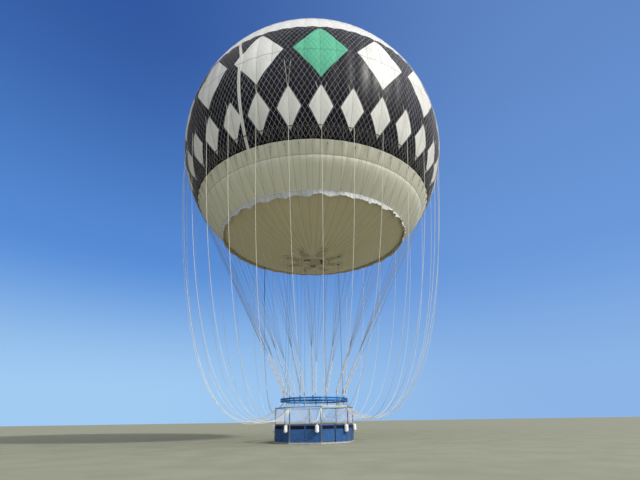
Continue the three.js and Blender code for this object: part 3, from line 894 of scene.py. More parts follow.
@dataclass
class Stage:
    """Plain floor, soft light and the camera at the photograph's place."""

    layout: Layout
    camera_place: Vector = field(default_factory=lambda: Vector((0.193, -27.626, -21.623)))
    pitch: float = 25.738
    yaw: float = 0.719
    roll: float = -0.87
    lens: float = 21.038
    sensor: float = 36.0
    floor_size: float = 900.0
    key_azimuth: float = 54.0
    key_height: float = 38.0
    key_strength: float = 2.65

    def build(self) -> None:
        """Makes the camera, the floor and the lights."""
        self._camera()
        self._floor()
        self._key()
        self._surround()

    def _camera(self) -> None:
        """Sets the camera by its pitch, yaw and roll."""
        pitch, yaw, roll = (radians(a) for a in (self.pitch, self.yaw, self.roll))
        forward = Vector((sin(yaw) * cos(pitch), cos(yaw) * cos(pitch), sin(pitch)))
        level = forward.cross(Vector((0, 0, 1))).normalized()
        upright = level.cross(forward)
        right = level * cos(roll) + upright * sin(roll)
        up = upright * cos(roll) - level * sin(roll)
        data = bpy.data.cameras.new("camera")
        data.lens, data.sensor_width = self.lens, self.sensor
        data.clip_start, data.clip_end = 0.1, 2000.0
        camera = bpy.data.objects.new("camera", data)
        axes = Matrix((right, up, -forward)).transposed().to_4x4()
        camera.matrix_world = Matrix.Translation(self.camera_place) @ axes
        bpy.context.scene.collection.objects.link(camera)
        bpy.context.scene.camera = camera
        LOG.info("camera at %s", tuple(round(x, 2) for x in self.camera_place))

    def _floor(self) -> None:
        """Makes a wide plain floor under the gondola's base."""
        mesh = bpy.data.meshes.new("floor")
        half, z = self.floor_size / 2, self.layout.base_z
        mesh.from_pydata([(-half, -half, z), (half, -half, z), (half, half, z), (-half, half, z)], [], [(0, 1, 2, 3)])
        floor = bpy.data.objects.new("floor", mesh)
        bpy.context.scene.collection.objects.link(floor)
        material, g, shader, place = start_material("plain_floor", Roughness=0.85)
        tone = g.spread(g.noise(place, 0.6, 5.0, 0.6), 0.3, 0.7)
        g.feed(shader.inputs["Base Color"], g.mix(tone, (0.25, 0.255, 0.185), (0.29, 0.295, 0.22)))
        mesh.materials.append(material)

    def _key(self) -> None:
        """Makes the soft key light, up and to the right."""
        lamp = bpy.data.lights.new("key", "SUN")
        lamp.energy = self.key_strength
        lamp.angle = radians(4.0)
        lamp.color = (1.0, 0.955, 0.88)
        key = bpy.data.objects.new("key", lamp)
        height = radians(self.key_height)
        towards = polar(self.key_azimuth, cos(height), sin(height))
        key.rotation_mode = "QUATERNION"
        key.rotation_quaternion = towards.to_track_quat("Z", "Y")
        bpy.context.scene.collection.objects.link(key)

    def _surround(self) -> None:
        """Lights from above and the right more than from the left, with a plain backdrop for the camera."""
        world = bpy.data.worlds.new("surround")
        world.use_nodes = True
        bpy.context.scene.world = world
        g = Graph(world.node_tree)
        background = world.node_tree.nodes["Background"]
        direction = g.node("ShaderNodeTexCoord").outputs["Generated"]
        x, y, up = g.split(direction)
        light = g.mix(g.spread(up, 0.0, 0.6), (0.33, 0.355, 0.4), (2.05, 2.17, 2.4))
        sunny = g.minus(g.times(x, 0.55), g.times(y, 0.84))
        light = g.mix(g.spread(sunny, -0.6, 0.8, 0.94, 0.0), light, (0.0, 0.0, 0.0))
        light = g.mix(g.spread(up, 0.72, 1.0, 0.0, 0.7), light, (0.5, 0.53, 0.6))
        drop = g.mix(g.spread(up, 0.05, 0.38), (0.42, 0.7, 1.04), (0.12, 0.33, 0.82))
        drop = g.mix(g.spread(up, 0.25, 0.85), drop, (0.034, 0.11, 0.405))
        drop = g.mix(g.spread(x, -0.45, 0.55, 0.0, 0.55), drop, (0.22, 0.42, 0.85))
        seen = g.node("ShaderNodeLightPath").outputs["Is Camera Ray"]
        g.feed(background.inputs["Color"], g.mix(seen, light, drop))
        background.inputs["Strength"].default_value = 0.85
        bpy.context.scene.view_settings.view_transform = "Standard"


# Slack ropes


@dataclass
class MooringRopes(Part):
    """Slack handling ropes from the net down to the gondola's posts."""

    count: int = 32
    radius: float = 0.0125
    knot_out: float = 10.6
    lean: float = -0.14
    low_z: float = -21.62
    high_start: tuple[float, float, float] = (-2.52, 1.2, -2.9)
    low_start: tuple[float, float, float] = (-12.28, 2.0, -3.95)
    tie_z: float = -20.95
    tie_step: float = 0.055
    tie_out: float = 0.04
    off_skin: float = 0.048
    post: float = 0.03
    points: int = 150

    def azimuth(self, index: int) -> float:
        """Azimuth of one rope, on a gore seam."""
        return self.layout.first_corner + 360 / self.count * (index - 1.5)

    def start(self, index: int) -> tuple[float, float, float]:
        """Latitude of a rope's legs, how far apart they are and the height where they meet."""
        return self.high_start if (index + 1) % 8 < 2 else self.low_start

    def knot(self, index: int) -> Vector:
        """Where a rope's two upper legs meet.

        Args:
            index: The rope.

        Returns:
            The knot's place.
        """
        azimuth = self.azimuth(index)
        height = self.start(index)[2] + 0.2 * float(ripple(np.array([azimuth * 7.0]), 5)[0])
        return polar(azimuth, self.knot_out + self.lean * sin(radians(azimuth)), height)

    def leg_top(self, index: int, side: int) -> Vector:
        """Where one leg leaves the net."""
        latitude, apart, _ = self.start(index)
        return globe(self.azimuth(index) + side * apart, self.layout.radius + 0.002, latitude)

    def leg(self, index: int, side: int) -> Array:
        """Points of one leg, laid on the envelope as far as its curve reaches out.

        Args:
            index: The rope.
            side: 1 or -1.

        Returns:
            Rows of x, y, z.
        """
        top, knot = self.leg_top(index, side), self.knot(index)
        path = []
        for t in np.linspace(0, 1, 16):
            point = top.lerp(knot, t)
            skin = sqrt(self.layout.radius ** 2 - point.z ** 2) + self.off_skin * min(1.0, t * 8)
            level = point.to_2d()
            out = max(level.length, skin)
            path.append((*(level.normalized() * out), point.z))
        path[0] = tuple(top)
        return np.array(path)

    def tie(self, index: int) -> Vector:
        """Where a rope is tied to its post.

        Args:
            index: The rope.

        Returns:
            The tie's place.
        """
        corner, place = divmod(index, 4)
        post = polar(self.layout.corner_azimuth(corner), self.layout.corner_radius, 0)
        out = (self.knot(index) - post).to_2d().normalized()
        return Vector((post.x + out.x * self.tie_out, post.y + out.y * self.tie_out,
                       self.tie_z - self.tie_step * place))

    def route(self, index: int) -> Array:
        """Points down the middle of one rope.

        Args:
            index: The rope.

        Returns:
            Rows of x, y, z.
        """
        low = self.low_z + 0.13 * float(ripple(np.array([self.azimuth(index) * 5.0]), 9)[0])
        low += 0.12 * sin(radians(self.azimuth(index)))
        leg = self.leg(index, -1)
        hanging = sagging_line(Vector(leg[-1]), self.tie(index), low, self.points)
        return np.concatenate([leg[:-1], hanging])

    def build(self) -> None:
        """Makes each rope, and the knots on them."""
        legs, knots, hitches = Shape(), Shape(), Shape()
        for index in range(self.count):
            path = self.route(index)
            shape = Shape()
            shape.tube(path, self.radius, 6)
            made = self.piece(shape, f"mooring_rope_{index + 1}", "rope")
            other = self.leg(index, 1)
            legs.tube(other, self.radius * 0.7, 6)
            knots.blob(other[-1], (0.035, 0.035, 0.06), segments=10)
            self._hitch(hitches, index)
        for name, shape in (("mooring_legs", legs), ("mooring_knots", knots), ("mooring_hitches", hitches)):
            self.piece(shape, name, "rope")

    def _hitch(self, shape: Shape, index: int) -> None:
        """Wraps two turns round a post where a rope is tied.

        Args:
            shape: Takes the turns.
            index: The rope.
        """
        post = polar(self.layout.corner_azimuth(index // 4), self.layout.corner_radius, self.tie(index).z)
        turns, radius = np.linspace(0, 4 * pi, 33), self.post + self.radius
        shape.tube(np.column_stack([post.x + radius * np.cos(turns), post.y + radius * np.sin(turns),
                                    post.z - 0.018 + 0.036 * turns / (4 * pi)]), self.radius * 0.8, 6)


# Envelope


@dataclass
class Envelope(Part):
    """The gas-tight skin: crown, band, lower part and underside, each its own piece."""

    columns: int = 6
    puff: float = 0.05
    sink: float = 0.012
    lip: float = 0.115
    groove: float = 0.02
    crease: float = 0.012
    seam_gap: float = 0.0002

    def azimuths(self) -> Array:
        """Azimuths of the mesh's columns."""
        total = self.layout.gores * self.columns
        return self.layout.first_corner + np.arange(total) * 360 / total

    def bulge(self) -> Array:
        """How full each column stands between its two seams, from 0 to 1."""
        share = (np.arange(self.layout.gores * self.columns) % self.columns) / self.columns
        return 4 * share * (1 - share)

    def out(self, latitude: Array) -> Array:
        """Extra radius that depends on the latitude alone: the roll under the ridge seam.

        Args:
            latitude: Degrees.

        Returns:
            Metres.
        """
        below = (self.layout.ridge_latitude - latitude) * pi / 180 * self.layout.radius
        roll = self.lip * np.exp(-below / 1.0) * (1 - np.exp(-below / 0.32))
        groove = -self.groove * np.exp(-np.abs(below) / 0.13)
        return np.where(below > 0, roll, 0.0) + groove

    def shell(self, outer: Array, normal: Array) -> Shape:
        """A closed skin from its outer points and their outward directions.

        Args:
            outer: Rows and columns of points.
            normal: Their outward directions.

        Returns:
            The skin.
        """
        inner = outer - normal * self.layout.skin
        shape = Shape()
        shape.grid(np.concatenate([outer, inner[::-1]]), closed=True)
        return shape

    def fullness(self, latitude: Array) -> Array:
        """Share that the gores puff out, less towards the crown and the edge."""
        tight = 1 - 0.55 * smooth_step((self.layout.cream_latitude - latitude) / 4)
        return np.clip(np.cos(np.radians(latitude)) * 1.3, 0.05, 1.0) * tight

    def zone(self, low: float, high: float, step: float) -> Shape:
        """The skin between two latitudes.

        Args:
            low: Lower latitude.
            high: Upper latitude.
            step: Degrees between rows.

        Returns:
            The skin.
        """
        lay = self.layout
        latitude = np.linspace(low, high, max(2, round((high - low) / step)) + 1)
        if low < lay.ridge_latitude < high:
            near = lay.ridge_latitude + np.array([-0.9, -0.45, -0.2, 0.0, 0.2, 0.5])
            latitude = np.unique(np.concatenate([latitude, near]))
        angle = np.radians(latitude)
        full = self.fullness(latitude)[:, None] * (self.puff * self.bulge()[None] - self.sink)
        random = np.random.default_rng(21).uniform(-1, 1, (2, lay.gores * self.columns))
        mix = np.clip((latitude[:, None] - low) / (high - low), 0, 1)
        rumpled = np.clip((lay.cream_latitude - latitude) * 3, 0, 1)[:, None]
        full = full + rumpled * self.crease * (random[0] * (1 - mix) + random[1] * mix)
        radius = lay.radius + full + self.out(latitude)[:, None]
        azimuth = self.azimuths()[None]
        outer = ring_points(azimuth, radius * np.cos(angle)[:, None], radius * np.sin(angle)[:, None])
        normal = ring_points(azimuth, np.cos(angle)[:, None] * np.ones_like(radius), np.sin(angle)[:, None])
        return self.shell(outer, normal)

    def underside(self) -> Shape:
        """The flatter cap with its port, drawn up towards the ring of patches.

        Returns:
            The skin.
        """
        lay, port = self.layout, self.layout.port_radius
        edge = lay.skirt_radius - 0.003
        radii = np.concatenate([np.linspace(port, 3.2, 14)[:-1], np.linspace(3.2, edge, 16)])
        azimuth = self.azimuths()
        share = (radii - port) / (edge - port)
        fade = np.minimum(1.0, (1 - share) * 8)
        full = 0.3 + 0.6 * share + 0.55 * np.exp(-((radii - 3.1) / 1.1) ** 2)
        drop = (self.puff * self.bulge()[None] - self.sink) * full[:, None] * fade[:, None]
        near = np.exp(-((radii - lay.patch_radius) / 0.7) ** 2)[:, None]
        creases = ripple(azimuth, 3, 9)[None] * 0.022 + ripple(azimuth, 4, 7)[None] * 0.012
        z = lay.cap_z(radii)[:, None] - drop - near * creases
        outer = ring_points(azimuth[None], radii[:, None] * np.ones_like(z), z)
        return self.shell(outer, np.array([0.0, 0.0, -1.0]) * np.ones_like(outer))

    def build(self) -> None:
        """Makes the four pieces of the skin and the tabs under the dark edge."""
        lay = self.layout
        seam, top = degrees(self.seam_gap / lay.radius), degrees(acos(lay.crown_port_radius / lay.radius))
        crown, cream, skirt = lay.crown_latitude, lay.cream_latitude, lay.skirt_latitude
        for part, shape, finish, slot in (
                ("crown", self.zone(crown + seam, top, 2.2), "crown_cloth", "envelope_white"),
                ("band", self.zone(cream + seam, crown - seam, 1.6), "band_cloth", "envelope_charcoal"),
                ("lower", self.zone(skirt + seam, cream - seam, 1.0), "cream_cloth", "envelope_cream"),
                # The underside's finish is darker and yellower than its beige cloth: painted shade and painted
                # reflected ground light.
                ("underside", self.underside(), "khaki_cloth", "envelope_khaki")):
            self.piece(shape, f"skin_{part}", finish, slot=slot, sharp=60, node=f"envelope_{part}")
        self._tabs()

    def _tabs(self) -> None:
        """Small dark tabs in a row under the dark edge, one on each gore."""
        lay = self.layout
        shape = Shape()
        for i in range(lay.gores):
            azimuth = lay.first_corner + (i + 0.5) * 360 / lay.gores
            latitude = lay.cream_latitude - 0.9 - 0.35 * (i % 2) - 0.25 * sin(i * 1.7)
            tilt = Matrix.Rotation(radians(-latitude), 4, "X")
            place = facing(azimuth) @ tilt @ slide(0, -lay.radius - self.puff, 0)
            size = 0.75 + 0.25 * sin(i * 2.3)
            shape.block((-0.02 * size, -0.008, -0.07 * size), (0.02 * size, 0.012, 0.07 * size), place, edge=0.005)
        self.piece(shape, "edge_tabs", "dark_fitting")


@dataclass
class Net(Part):
    """Diamond net over the upper envelope, coarser towards the crown."""

    thickness: float = 0.0053
    around: int = 192
    aspect: float = 1.75
    cord_out: float = 0.046
    hoop_out: float = 0.05

    def zone(self, shape: Shape, count: int, low: float, high: float) -> None:
        """Adds the crossing cords between two latitudes, on a map that keeps the diamonds' shape.

        Args:
            shape: The piece that takes them.
            count: Diamonds round the balloon.
            low: Lower latitude.
            high: Upper latitude.
        """
        pitch = 2 * pi / count
        half_row = pitch / 2 * self.aspect
        bottom, top = (asinh(tan(radians(latitude))) for latitude in (low, high))
        rows = max(2, round((top - bottom) / half_row))
        heights = np.linspace(bottom, top, rows + 1)
        latitude = np.arctan(np.sinh(heights))
        radius = self.layout.radius + self.cord_out + self.thickness * 0.4
        for turn in Turn:
            for i in range(count):
                azimuth = self.layout.first_corner + degrees(pitch) * (i + turn.value * np.arange(rows + 1) / 2)
                path = ring_points(azimuth, radius * np.cos(latitude), radius * np.sin(latitude))
                shape.tube(path, self.thickness, 3)

    def hoop(self, shape: Shape, latitude: float, thickness: float) -> None:
        """Adds a cord all round at one latitude.

        Args:
            shape: Takes the cord.
            latitude: Degrees.
            thickness: The cord's radius.
        """
        angle, radius = radians(latitude), self.layout.radius + self.hoop_out
        path = ring_points(np.arange(256) * 360 / 256, radius * cos(angle), radius * sin(angle))
        shape.tube(path, thickness, 6, closed=True)

    def build(self) -> None:
        """Makes the net's two pieces and its hoops."""
        low, middle, high, top = self.layout.cream_latitude + 0.35, 42.0, 66.0, 84.0
        lower = Shape()
        self.zone(lower, self.around, low, middle)
        self.piece(lower, "net_band", "net_cord", slot="rope", sharp=180)
        upper = Shape()
        self.zone(upper, self.around // 2, middle, high)
        self.zone(upper, self.around // 4, high, top)
        self.piece(upper, "net_crown", "net_cord", slot="rope", sharp=180)
        hoops = Shape()
        for latitude, thickness in ((middle, 0.014), (high, 0.016), (top, 0.02)):
            self.hoop(hoops, latitude, thickness)
        self.piece(hoops, "net_hoops", "rope")


@dataclass
class RainSkirt(Part):
    """Ring of thin cloth under the lower edge, with a scalloped hem, in four lengths."""

    scallops: int = 32
    lengths: int = 4
    steps: int = 14
    rows: int = 7
    cusp: float = 0.46
    arch: float = 0.29
    flare: float = -0.15
    lee: float = 54.0
    lifted: float = 0.18
    lee_edge: float = 0.62
    shorter: float = 0.12
    cloth: float = 0.003
    off_skin: float = 0.052
    rise: float = 0.04

    def build(self) -> None:
        """Makes the four lengths of cloth, their inner faces in painted shade, and the seam tape along their top."""
        lay = self.layout
        top = lay.skirt_z + self.rise
        top_radius = sqrt(lay.radius ** 2 - top ** 2) + self.off_skin
        per_length = self.scallops // self.lengths
        for part in range(self.lengths):
            first = lay.first_corner + 360 * part / self.lengths
            azimuth = first + np.linspace(0, 360 / self.lengths, per_length * self.steps + 1)
            within = np.arange(len(azimuth)) % self.steps / self.steps
            behind = (1 - np.cos(np.radians(azimuth))) / 2
            drop = self.cusp + 0.05 * behind - (self.cusp - self.arch) * (1 - 0.6 * behind) * np.sin(pi * within)
            down = np.linspace(0, 1, self.rows + 1)[:, None]
            blown = np.maximum(0.0, np.cos(np.radians(azimuth - self.lee)) - self.lee_edge) / (1 - self.lee_edge)
            drop = drop * (1 - self.shorter * blown)
            swing = self.flare + self.lifted * blown + 0.05 * ripple(azimuth, 11, 6)
            swing += 0.035 * ripple(azimuth * 3, 12, 5)
            flutter = 0.03 * np.sin(np.radians(azimuth) * self.scallops * 3.5) + 0.02 * ripple(azimuth * 4, 13, 6)
            steps = np.arange(len(azimuth))
            ends = np.minimum(1.0, np.minimum(steps, steps[::-1]) / 4)
            radius = top_radius + down * swing[None] + np.sin(down * pi * 0.5) * flutter[None] * ends[None]
            lift = 0.35 * np.maximum(0, swing - self.flare)[None] * down
            outer, inner = (ring_points(azimuth[None], r, top - down * drop[None] + lift)
                            for r in (radius, radius - self.cloth))
            shape = Shape()
            self._strip(shape, outer, inner)
            made = self.piece(shape, f"skirt_length_{part + 1}", "skirt_cloth", "skirt_lining", sharp=70)
            if part == 0:
                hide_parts("rain_skirt")
        tape = Shape()
        tape.ring([(top_radius + out, top + up) for out, up in (
            (-0.02, -0.03), (0.008, -0.03), (-0.004, 0.05), (-0.03, 0.05))], segments=192)
        self.piece(tape, "skirt_tape", "skirt_cloth")

    @staticmethod
    def _strip(shape: Shape, outer: Array, inner: Array) -> None:
        """Joins two faces of a strip of cloth into one closed body.

        Args:
            shape: Takes the body.
            outer: Points of the outer face.
            inner: Points of the inner face, which takes painted shade.
        """
        loop = np.concatenate([outer, inner[::-1]])
        rows, columns = loop.shape[:2]
        shape.grid(loop, loop=False, closed=True)
        index = np.arange(rows * columns).reshape(rows, columns)
        half, per_row = rows // 2, columns - 1
        for column in (0, per_row):
            for row in range(half - 1):
                shape.faces.append(index[[row, row + 1, rows - 2 - row, rows - 1 - row], column].tolist())
                shape.slots.append(0)
        # The inner faces take the second finish: painted shade.
        shape.slots[half * per_row:(rows - 1) * per_row] = [1] * ((half - 1) * per_row)


@dataclass
class CrownValve(Part):
    """The gas valve's lid over the crown port, with its clamp ring, ribs and spring dome."""

    overlap: float = 0.04

    def build(self) -> None:
        """Makes the lid with what is bolted on it."""
        shape, port = Shape(), self.layout.crown_port_radius
        seat = sqrt(self.layout.radius ** 2 - port ** 2)
        place, rim = slide(0, 0, seat), port + self.overlap
        shape.lathe([(0, 0.001), (rim - 0.004, 0.001), (rim, 0.005), (rim, 0.03), (rim - 0.008, 0.036), (0.44, 0.062),
                     (0.42, 0.071), (0.31, 0.15), (0.28, 0.162), (0, 0.186)], place, 64)
        for i in range(24):
            bolt = place @ spot(15 * i, -rim + 0.045, 0.034)
            shape.lathe([(0, 0), (0.014, 0), (0.014, 0.016), (0.01, 0.02), (0, 0.02)], bolt, 6, slot=1)
        for i in range(8):
            rib = place @ spot(45 * i, -0.365, 0.112) @ Matrix.Rotation(-0.6, 4, "X")
            shape.block((-0.01, -0.055, -0.012), (0.01, 0.055, 0.014), rib, edge=0.003)
        shape.lathe([(0, 0.17), (0.07, 0.17), (0.07, 0.205), (0.05, 0.222), (0, 0.226)], place, 24, slot=1)
        self.piece(shape, "crown_valve_fine", "white_plastic", "steel")


@dataclass
class ServiceCable(Part):
    """Beaded cable that hangs from the skirt's line at the back down to the upper rail."""

    azimuth: float = 220.0
    leg: int = 11
    radius: float = 0.012
    sag: float = 0.25
    bead_step: float = 0.24
    beads: int = 15

    def build(self) -> None:
        lay = self.layout
        start = polar(self.azimuth, lay.skirt_radius + 0.012, lay.skirt_z - 0.012)
        end = polar(lay.leg_azimuth(self.leg), lay.rail_radius + 0.034, lay.base_z + lay.upper_rail_height)
        path = sagging_line(start, end, end.z - self.sag, 110)
        shape = Shape()
        shape.tube(path, self.radius, 6)
        made = self.piece(shape, "service_cable", "dark_fitting")
        steps = np.concatenate([[0], np.cumsum(np.linalg.norm(np.diff(path, axis=0), axis=1))])
        strung = Shape()
        for i in range(self.beads):
            at = self.bead_step * (i + 1)
            strung.blob([float(np.interp(at, steps, path[:, k])) for k in range(3)], (0.05, 0.05, 0.06), segments=10)
        self.piece(strung, "cable_beads", "dark_fitting")


# Suspension


@dataclass
class Suspension(Part):
    """Eight sectors of taut ropes, their knots and stems, and the straight lines to the patches."""

    rope_radius: float = 0.0095
    ropes_per_leg: int = 4
    spacing: float = 0.027
    stem_radius: float = 0.022
    join: float = 0.16
    strand_radius: float = 0.012
    twist: float = 0.022
    feet_drop: float = 0.12
    webbing_half: float = 0.03
    girdle_out: float = 0.055
    feet_apart: float = 1.875
    strand_turns: float = 5.5
    line_end: float = 2.63

    def build(self) -> None:
        """Makes each sector and the patch lines."""
        for side in range(self.layout.sides):
            shape = Shape()
            self._girdle(shape, side)
            for leg in (2 * side, 2 * side + 1):
                self._leg(shape, leg)
            self.piece(shape, f"suspension_{side + 1}", "bundle_rope", "steel", "taut_line", "dark_fitting",
                       slot="rope", node=f"suspension_sector_{side + 1}")
        lines = Shape()
        lay = self.layout
        for i in range(lay.sides):
            azimuth = lay.patch_azimuth(i)
            start = polar(azimuth, lay.patch_radius, float(lay.cap_z(lay.patch_radius)) - 0.09)
            end = polar(azimuth, lay.knot_radius - 0.06, lay.base_z + self.line_end)
            lines.tube([start.lerp(end, t) for t in (0, 0.02, 0.5, 0.98, 1)], 0.007, 6)
        self.piece(lines, "patch_lines", "dark_fitting")

    def _girdle(self, shape: Shape, side: int) -> None:
        """One sector's length of the webbing round the envelope.

        Args:
            shape: Takes the webbing.
            side: The sector.
        """
        lay = self.layout
        first = lay.corner_azimuth(side)
        azimuth = np.linspace(first + 0.002, first + lay.side_angle - 0.002, 49)
        half = degrees(self.webbing_half / lay.radius)
        rows = []
        for up, proud in ((-half, 0.036), (-half, 0.05), (half, 0.05), (half, 0.036)):
            angle, radius = radians(lay.girdle_latitude + up), lay.radius + proud
            rows.append(ring_points(azimuth, radius * cos(angle), radius * sin(angle)))
        shape.grid(np.stack(rows, axis=1), slot=3, caps=True)

    def _leg(self, shape: Shape, leg: int) -> None:
        """Four ropes down to a bound knot, and the thick stem on to its shackle.

        Args:
            shape: Takes the ropes.
            leg: The leg.
        """
        lay = self.layout
        azimuth = lay.leg_azimuth(leg)
        knot = polar(azimuth, lay.knot_radius, lay.knot_z)
        across = facing(azimuth) @ Vector((1, 0, 0))
        out, latitude = lay.radius + self.girdle_out, lay.girdle_latitude
        for i in range(self.ropes_per_leg):
            place = i - (self.ropes_per_leg - 1) / 2
            along = azimuth + place * lay.leg_angle / self.ropes_per_leg
            top = globe(along, out, latitude)
            foot = knot + across * place * self.spacing + Vector((0, 0, 0.03))
            meet = knot.lerp(globe(azimuth, out, latitude), self.join)
            shape.tube([top.lerp(meet, t) for t in np.linspace(0, 1, 9)], self.rope_radius, 6, slot=2)
            shape.blob(top, (0.03, 0.03, 0.05), segments=8, slot=3)
            for side in (-1, 1):
                start = globe(along + side * self.feet_apart, out - 0.005, latitude)
                shape.tube([start, top.lerp(meet, self.feet_drop)], 0.006, 4, slot=2)
            shape.tube(self._strand(meet, foot, across, i), self.strand_radius, 6)
        shape.lathe([(0.022, -0.14), (0.036, -0.11), (0.04, -0.05), (0.036, -0.03), (0.046, 0.0), (0.05, 0.03),
                     (0.042, 0.06), (0.026, 0.08)], slide(*knot), 14)
        for turn in range(6):
            z = -0.115 + turn * 0.032
            radius = 0.034 + 0.01 * sin(pi * (turn + 1) / 7)
            angles = np.linspace(0, 2 * pi, 16, endpoint=False)
            loop = [knot + Vector((radius * cos(a), radius * sin(a), z)) for a in angles]
            shape.tube(loop, 0.01, 5, closed=True)
        lug_top = lay.base_z + lay.lug_height
        stem = np.linspace(knot.z - 0.11, lug_top + 0.07, 9)
        shape.tube([(knot.x, knot.y, z) for z in stem], self.stem_radius, 10)
        self._shackle(shape, azimuth, lug_top)

    def _strand(self, meet: Vector, foot: Vector, across: Vector, index: int) -> Array:
        """One strand of a leg's twisted lower end.

        Args:
            meet: Where the ropes come together.
            foot: Its lower end.
            across: Level direction.
            index: The strand.

        Returns:
            Rows of x, y, z.
        """
        ahead = (foot - meet).normalized()
        other = ahead.cross(across).normalized()
        side = other.cross(ahead)
        path = []
        for t in np.linspace(0, 1, 44):
            turn = 2 * pi * (index / self.ropes_per_leg + self.strand_turns * t)
            spread = self.twist * min(1.0, (1 - t) * 12, 0.15 + t * 12)
            path.append(meet.lerp(foot, t) + (side * cos(turn) + other * sin(turn)) * spread)
        return np.array(path)

    def _shackle(self, shape: Shape, azimuth: float, lug_top: float) -> None:
        """A bow shackle and its bolt, seated on a lug.

        Args:
            shape: Takes the shackle.
            azimuth: The leg's azimuth.
            lug_top: Height of the lug.
        """
        lay = self.layout
        place = spot(azimuth, -lay.knot_radius, lug_top)
        bow = [(0.034 * cos(t), 0, 0.035 + 0.05 * sin(t)) for t in np.linspace(0, pi, 13)]
        shape.tube([(0.034, 0, 0), *bow, (-0.034, 0, 0)], 0.011, 8, slot=1, place=place)
        shape.tube([(-0.055, 0, 0.012), (0.055, 0, 0.012)], 0.012, 8, slot=1, place=place)


# Underside


@dataclass
class PortFittings(Part):
    """The laced plate in the underside's port, what hangs on it, and the ring of anchor patches."""

    plate_drop: float = 0.012
    fan_place: tuple[float, float] = (-0.52, -0.37)
    fan_half: float = 0.19
    fan_deep: float = 0.24
    valve_place: tuple[float, float] = (-0.06, 0.82)
    neck_place: tuple[float, float] = (0.64, -0.37)
    grommets: int = 48

    @property
    def seat(self) -> float:
        """Height of the plate's lower face."""
        return float(self.layout.cap_z(self.layout.port_radius)) - self.plate_drop

    def build(self) -> None:
        """Makes the plate, the fan, the valve, the filling neck and the patches."""
        self._plate()
        self._fan()
        self._valve()
        self._neck()
        self._patches()

    def _plate(self) -> None:
        """The plate with its rim, ribs and lacing."""
        shape = Shape()
        seat, rim = self.seat, self.layout.port_radius - 0.001
        shape.lathe([(0, seat - 0.001), (0.3, seat), (rim - 0.08, seat + 0.002), (rim - 0.06, seat - 0.01),
                     (rim - 0.02, seat - 0.012), (rim, seat + 0.004), (rim, seat + 0.02), (0, seat + 0.022)],
                    segments=64)
        for i in range(16):
            place = spot(i * 22.5, 0, seat)
            shape.block((-0.014, -rim + 0.09, -0.01), (0.014, -0.28, 0.004), place, edge=0.004)
        shape.ring(band(0.27, 0.33, seat - 0.005, 0.009), segments=40)
        outer = rim + 0.13
        zigzag = []
        for i in range(self.grommets * 2):
            radius = rim - 0.04 if i % 2 == 0 else outer
            height = seat - 0.016 if i % 2 == 0 else float(self.layout.cap_z(outer)) - 0.03
            zigzag.append(polar(i * 180 / self.grommets, radius, height))
        lacing = Shape()
        lacing.tube(zigzag, 0.006, 5, closed=True)
        for i in range(self.grommets):
            lacing.blob(zigzag[2 * i], (0.014, 0.014, 0.007), segments=8)
            lacing.blob(zigzag[2 * i + 1], (0.016, 0.016, 0.007), segments=8)
        self.piece(shape, "port_plate_laced", "plate_cloth", node="port_plate")
        self.piece(lacing, "port_lacing", "plate_cloth", slot="rope")

    def _fan(self) -> None:
        """The fan's box with its flange, louvres and grille, its upper part in painted shade."""
        shape = Shape()
        (x, y), half, seat = self.fan_place, self.fan_half, self.seat
        place = slide(x, y, seat)
        shape.block((-half, -half, -self.fan_deep), (half, half, -0.13), place, edge=0.012)
        # Its upper part is dark brown: painted shade under the plate.
        shape.block((-half + 0.004, -half + 0.004, -0.132), (half - 0.004, half - 0.004, -0.016), place, slot=1)
        shape.block((-half - 0.02, -half - 0.02, -0.018), (half + 0.02, half + 0.02, -0.001), place, slot=1, edge=0.003)
        for i in range(5):
            z = -0.06 - 0.032 * i
            shape.block((-half * 0.7, -half - 0.006, z - 0.008), (half * 0.7, -half + 0.004, z), place, slot=1)
            shape.block((half - 0.004, -half * 0.7, z - 0.008), (half + 0.006, half * 0.7, z), place, slot=1)
        bottom = slide(x, y, seat - self.fan_deep)
        shape.ring(band(0.135, 0.155, -0.002, 0.006), bottom, 28, slot=1)
        for i in range(7):
            offset = -0.12 + 0.04 * i
            reach = sqrt(0.145 ** 2 - offset ** 2)
            shape.tube([(-reach, offset, -0.004), (reach, offset, -0.004)], 0.004, 6, slot=1, place=bottom)
        shape.lathe([(0, -0.012), (0.035, -0.01), (0.04, 0), (0, 0.002)], bottom, 16, slot=1)
        self.piece(shape, "fan_box_fine", "fan_cream", "valve_brown", slot="white_plastic")

    def _valve(self) -> None:
        """The pressure valve: a dished disc under spring bars."""
        shape = Shape()
        place = slide(*self.valve_place, self.seat)
        shape.lathe([(0, -0.038), (0.1, -0.042), (0.184, -0.058), (0.2, -0.06), (0.222, -0.03), (0.23, -0.02),
                     (0.23, -0.001), (0, -0.001)], place, 40)
        shape.lathe([(0, -0.072), (0.03, -0.07), (0.036, -0.045), (0, -0.04)], place, 16)
        for i in range(3):
            arm = place @ facing(i * 120)
            shape.block((-0.01, -0.21, -0.066), (0.01, 0.0, -0.056), arm, edge=0.003)
        self.piece(shape, "pressure_valve_fine", "valve_brown", slot="dark_fitting")

    def _neck(self) -> None:
        """The filling neck, tied off with two clamp bands."""
        shape = Shape()
        place = slide(*self.neck_place, self.seat)
        shape.lathe([(0, -0.298), (0.05, -0.3), (0.085, -0.29), (0.09, -0.27), (0.078, -0.25), (0.086, -0.2),
                     (0.082, -0.12), (0.09, -0.06), (0.1, -0.034), (0.155, -0.03), (0.16, -0.024), (0.16, -0.001),
                     (0, -0.001)], place, 28)
        for z in (-0.252, -0.075):
            shape.ring(band(0.074, 0.096, z, 0.008), place, 24, slot=1)
        for i in range(8):
            bolt = place @ spot(i * 45 + 20, -0.135, -0.032)
            shape.lathe([(0, -0.008), (0.009, -0.008), (0.01, 0.004), (0, 0.004)], bolt, 6, slot=1)
        self.piece(shape, "filling_neck_fine", "pad_brown", "steel", slot="dark_fitting")

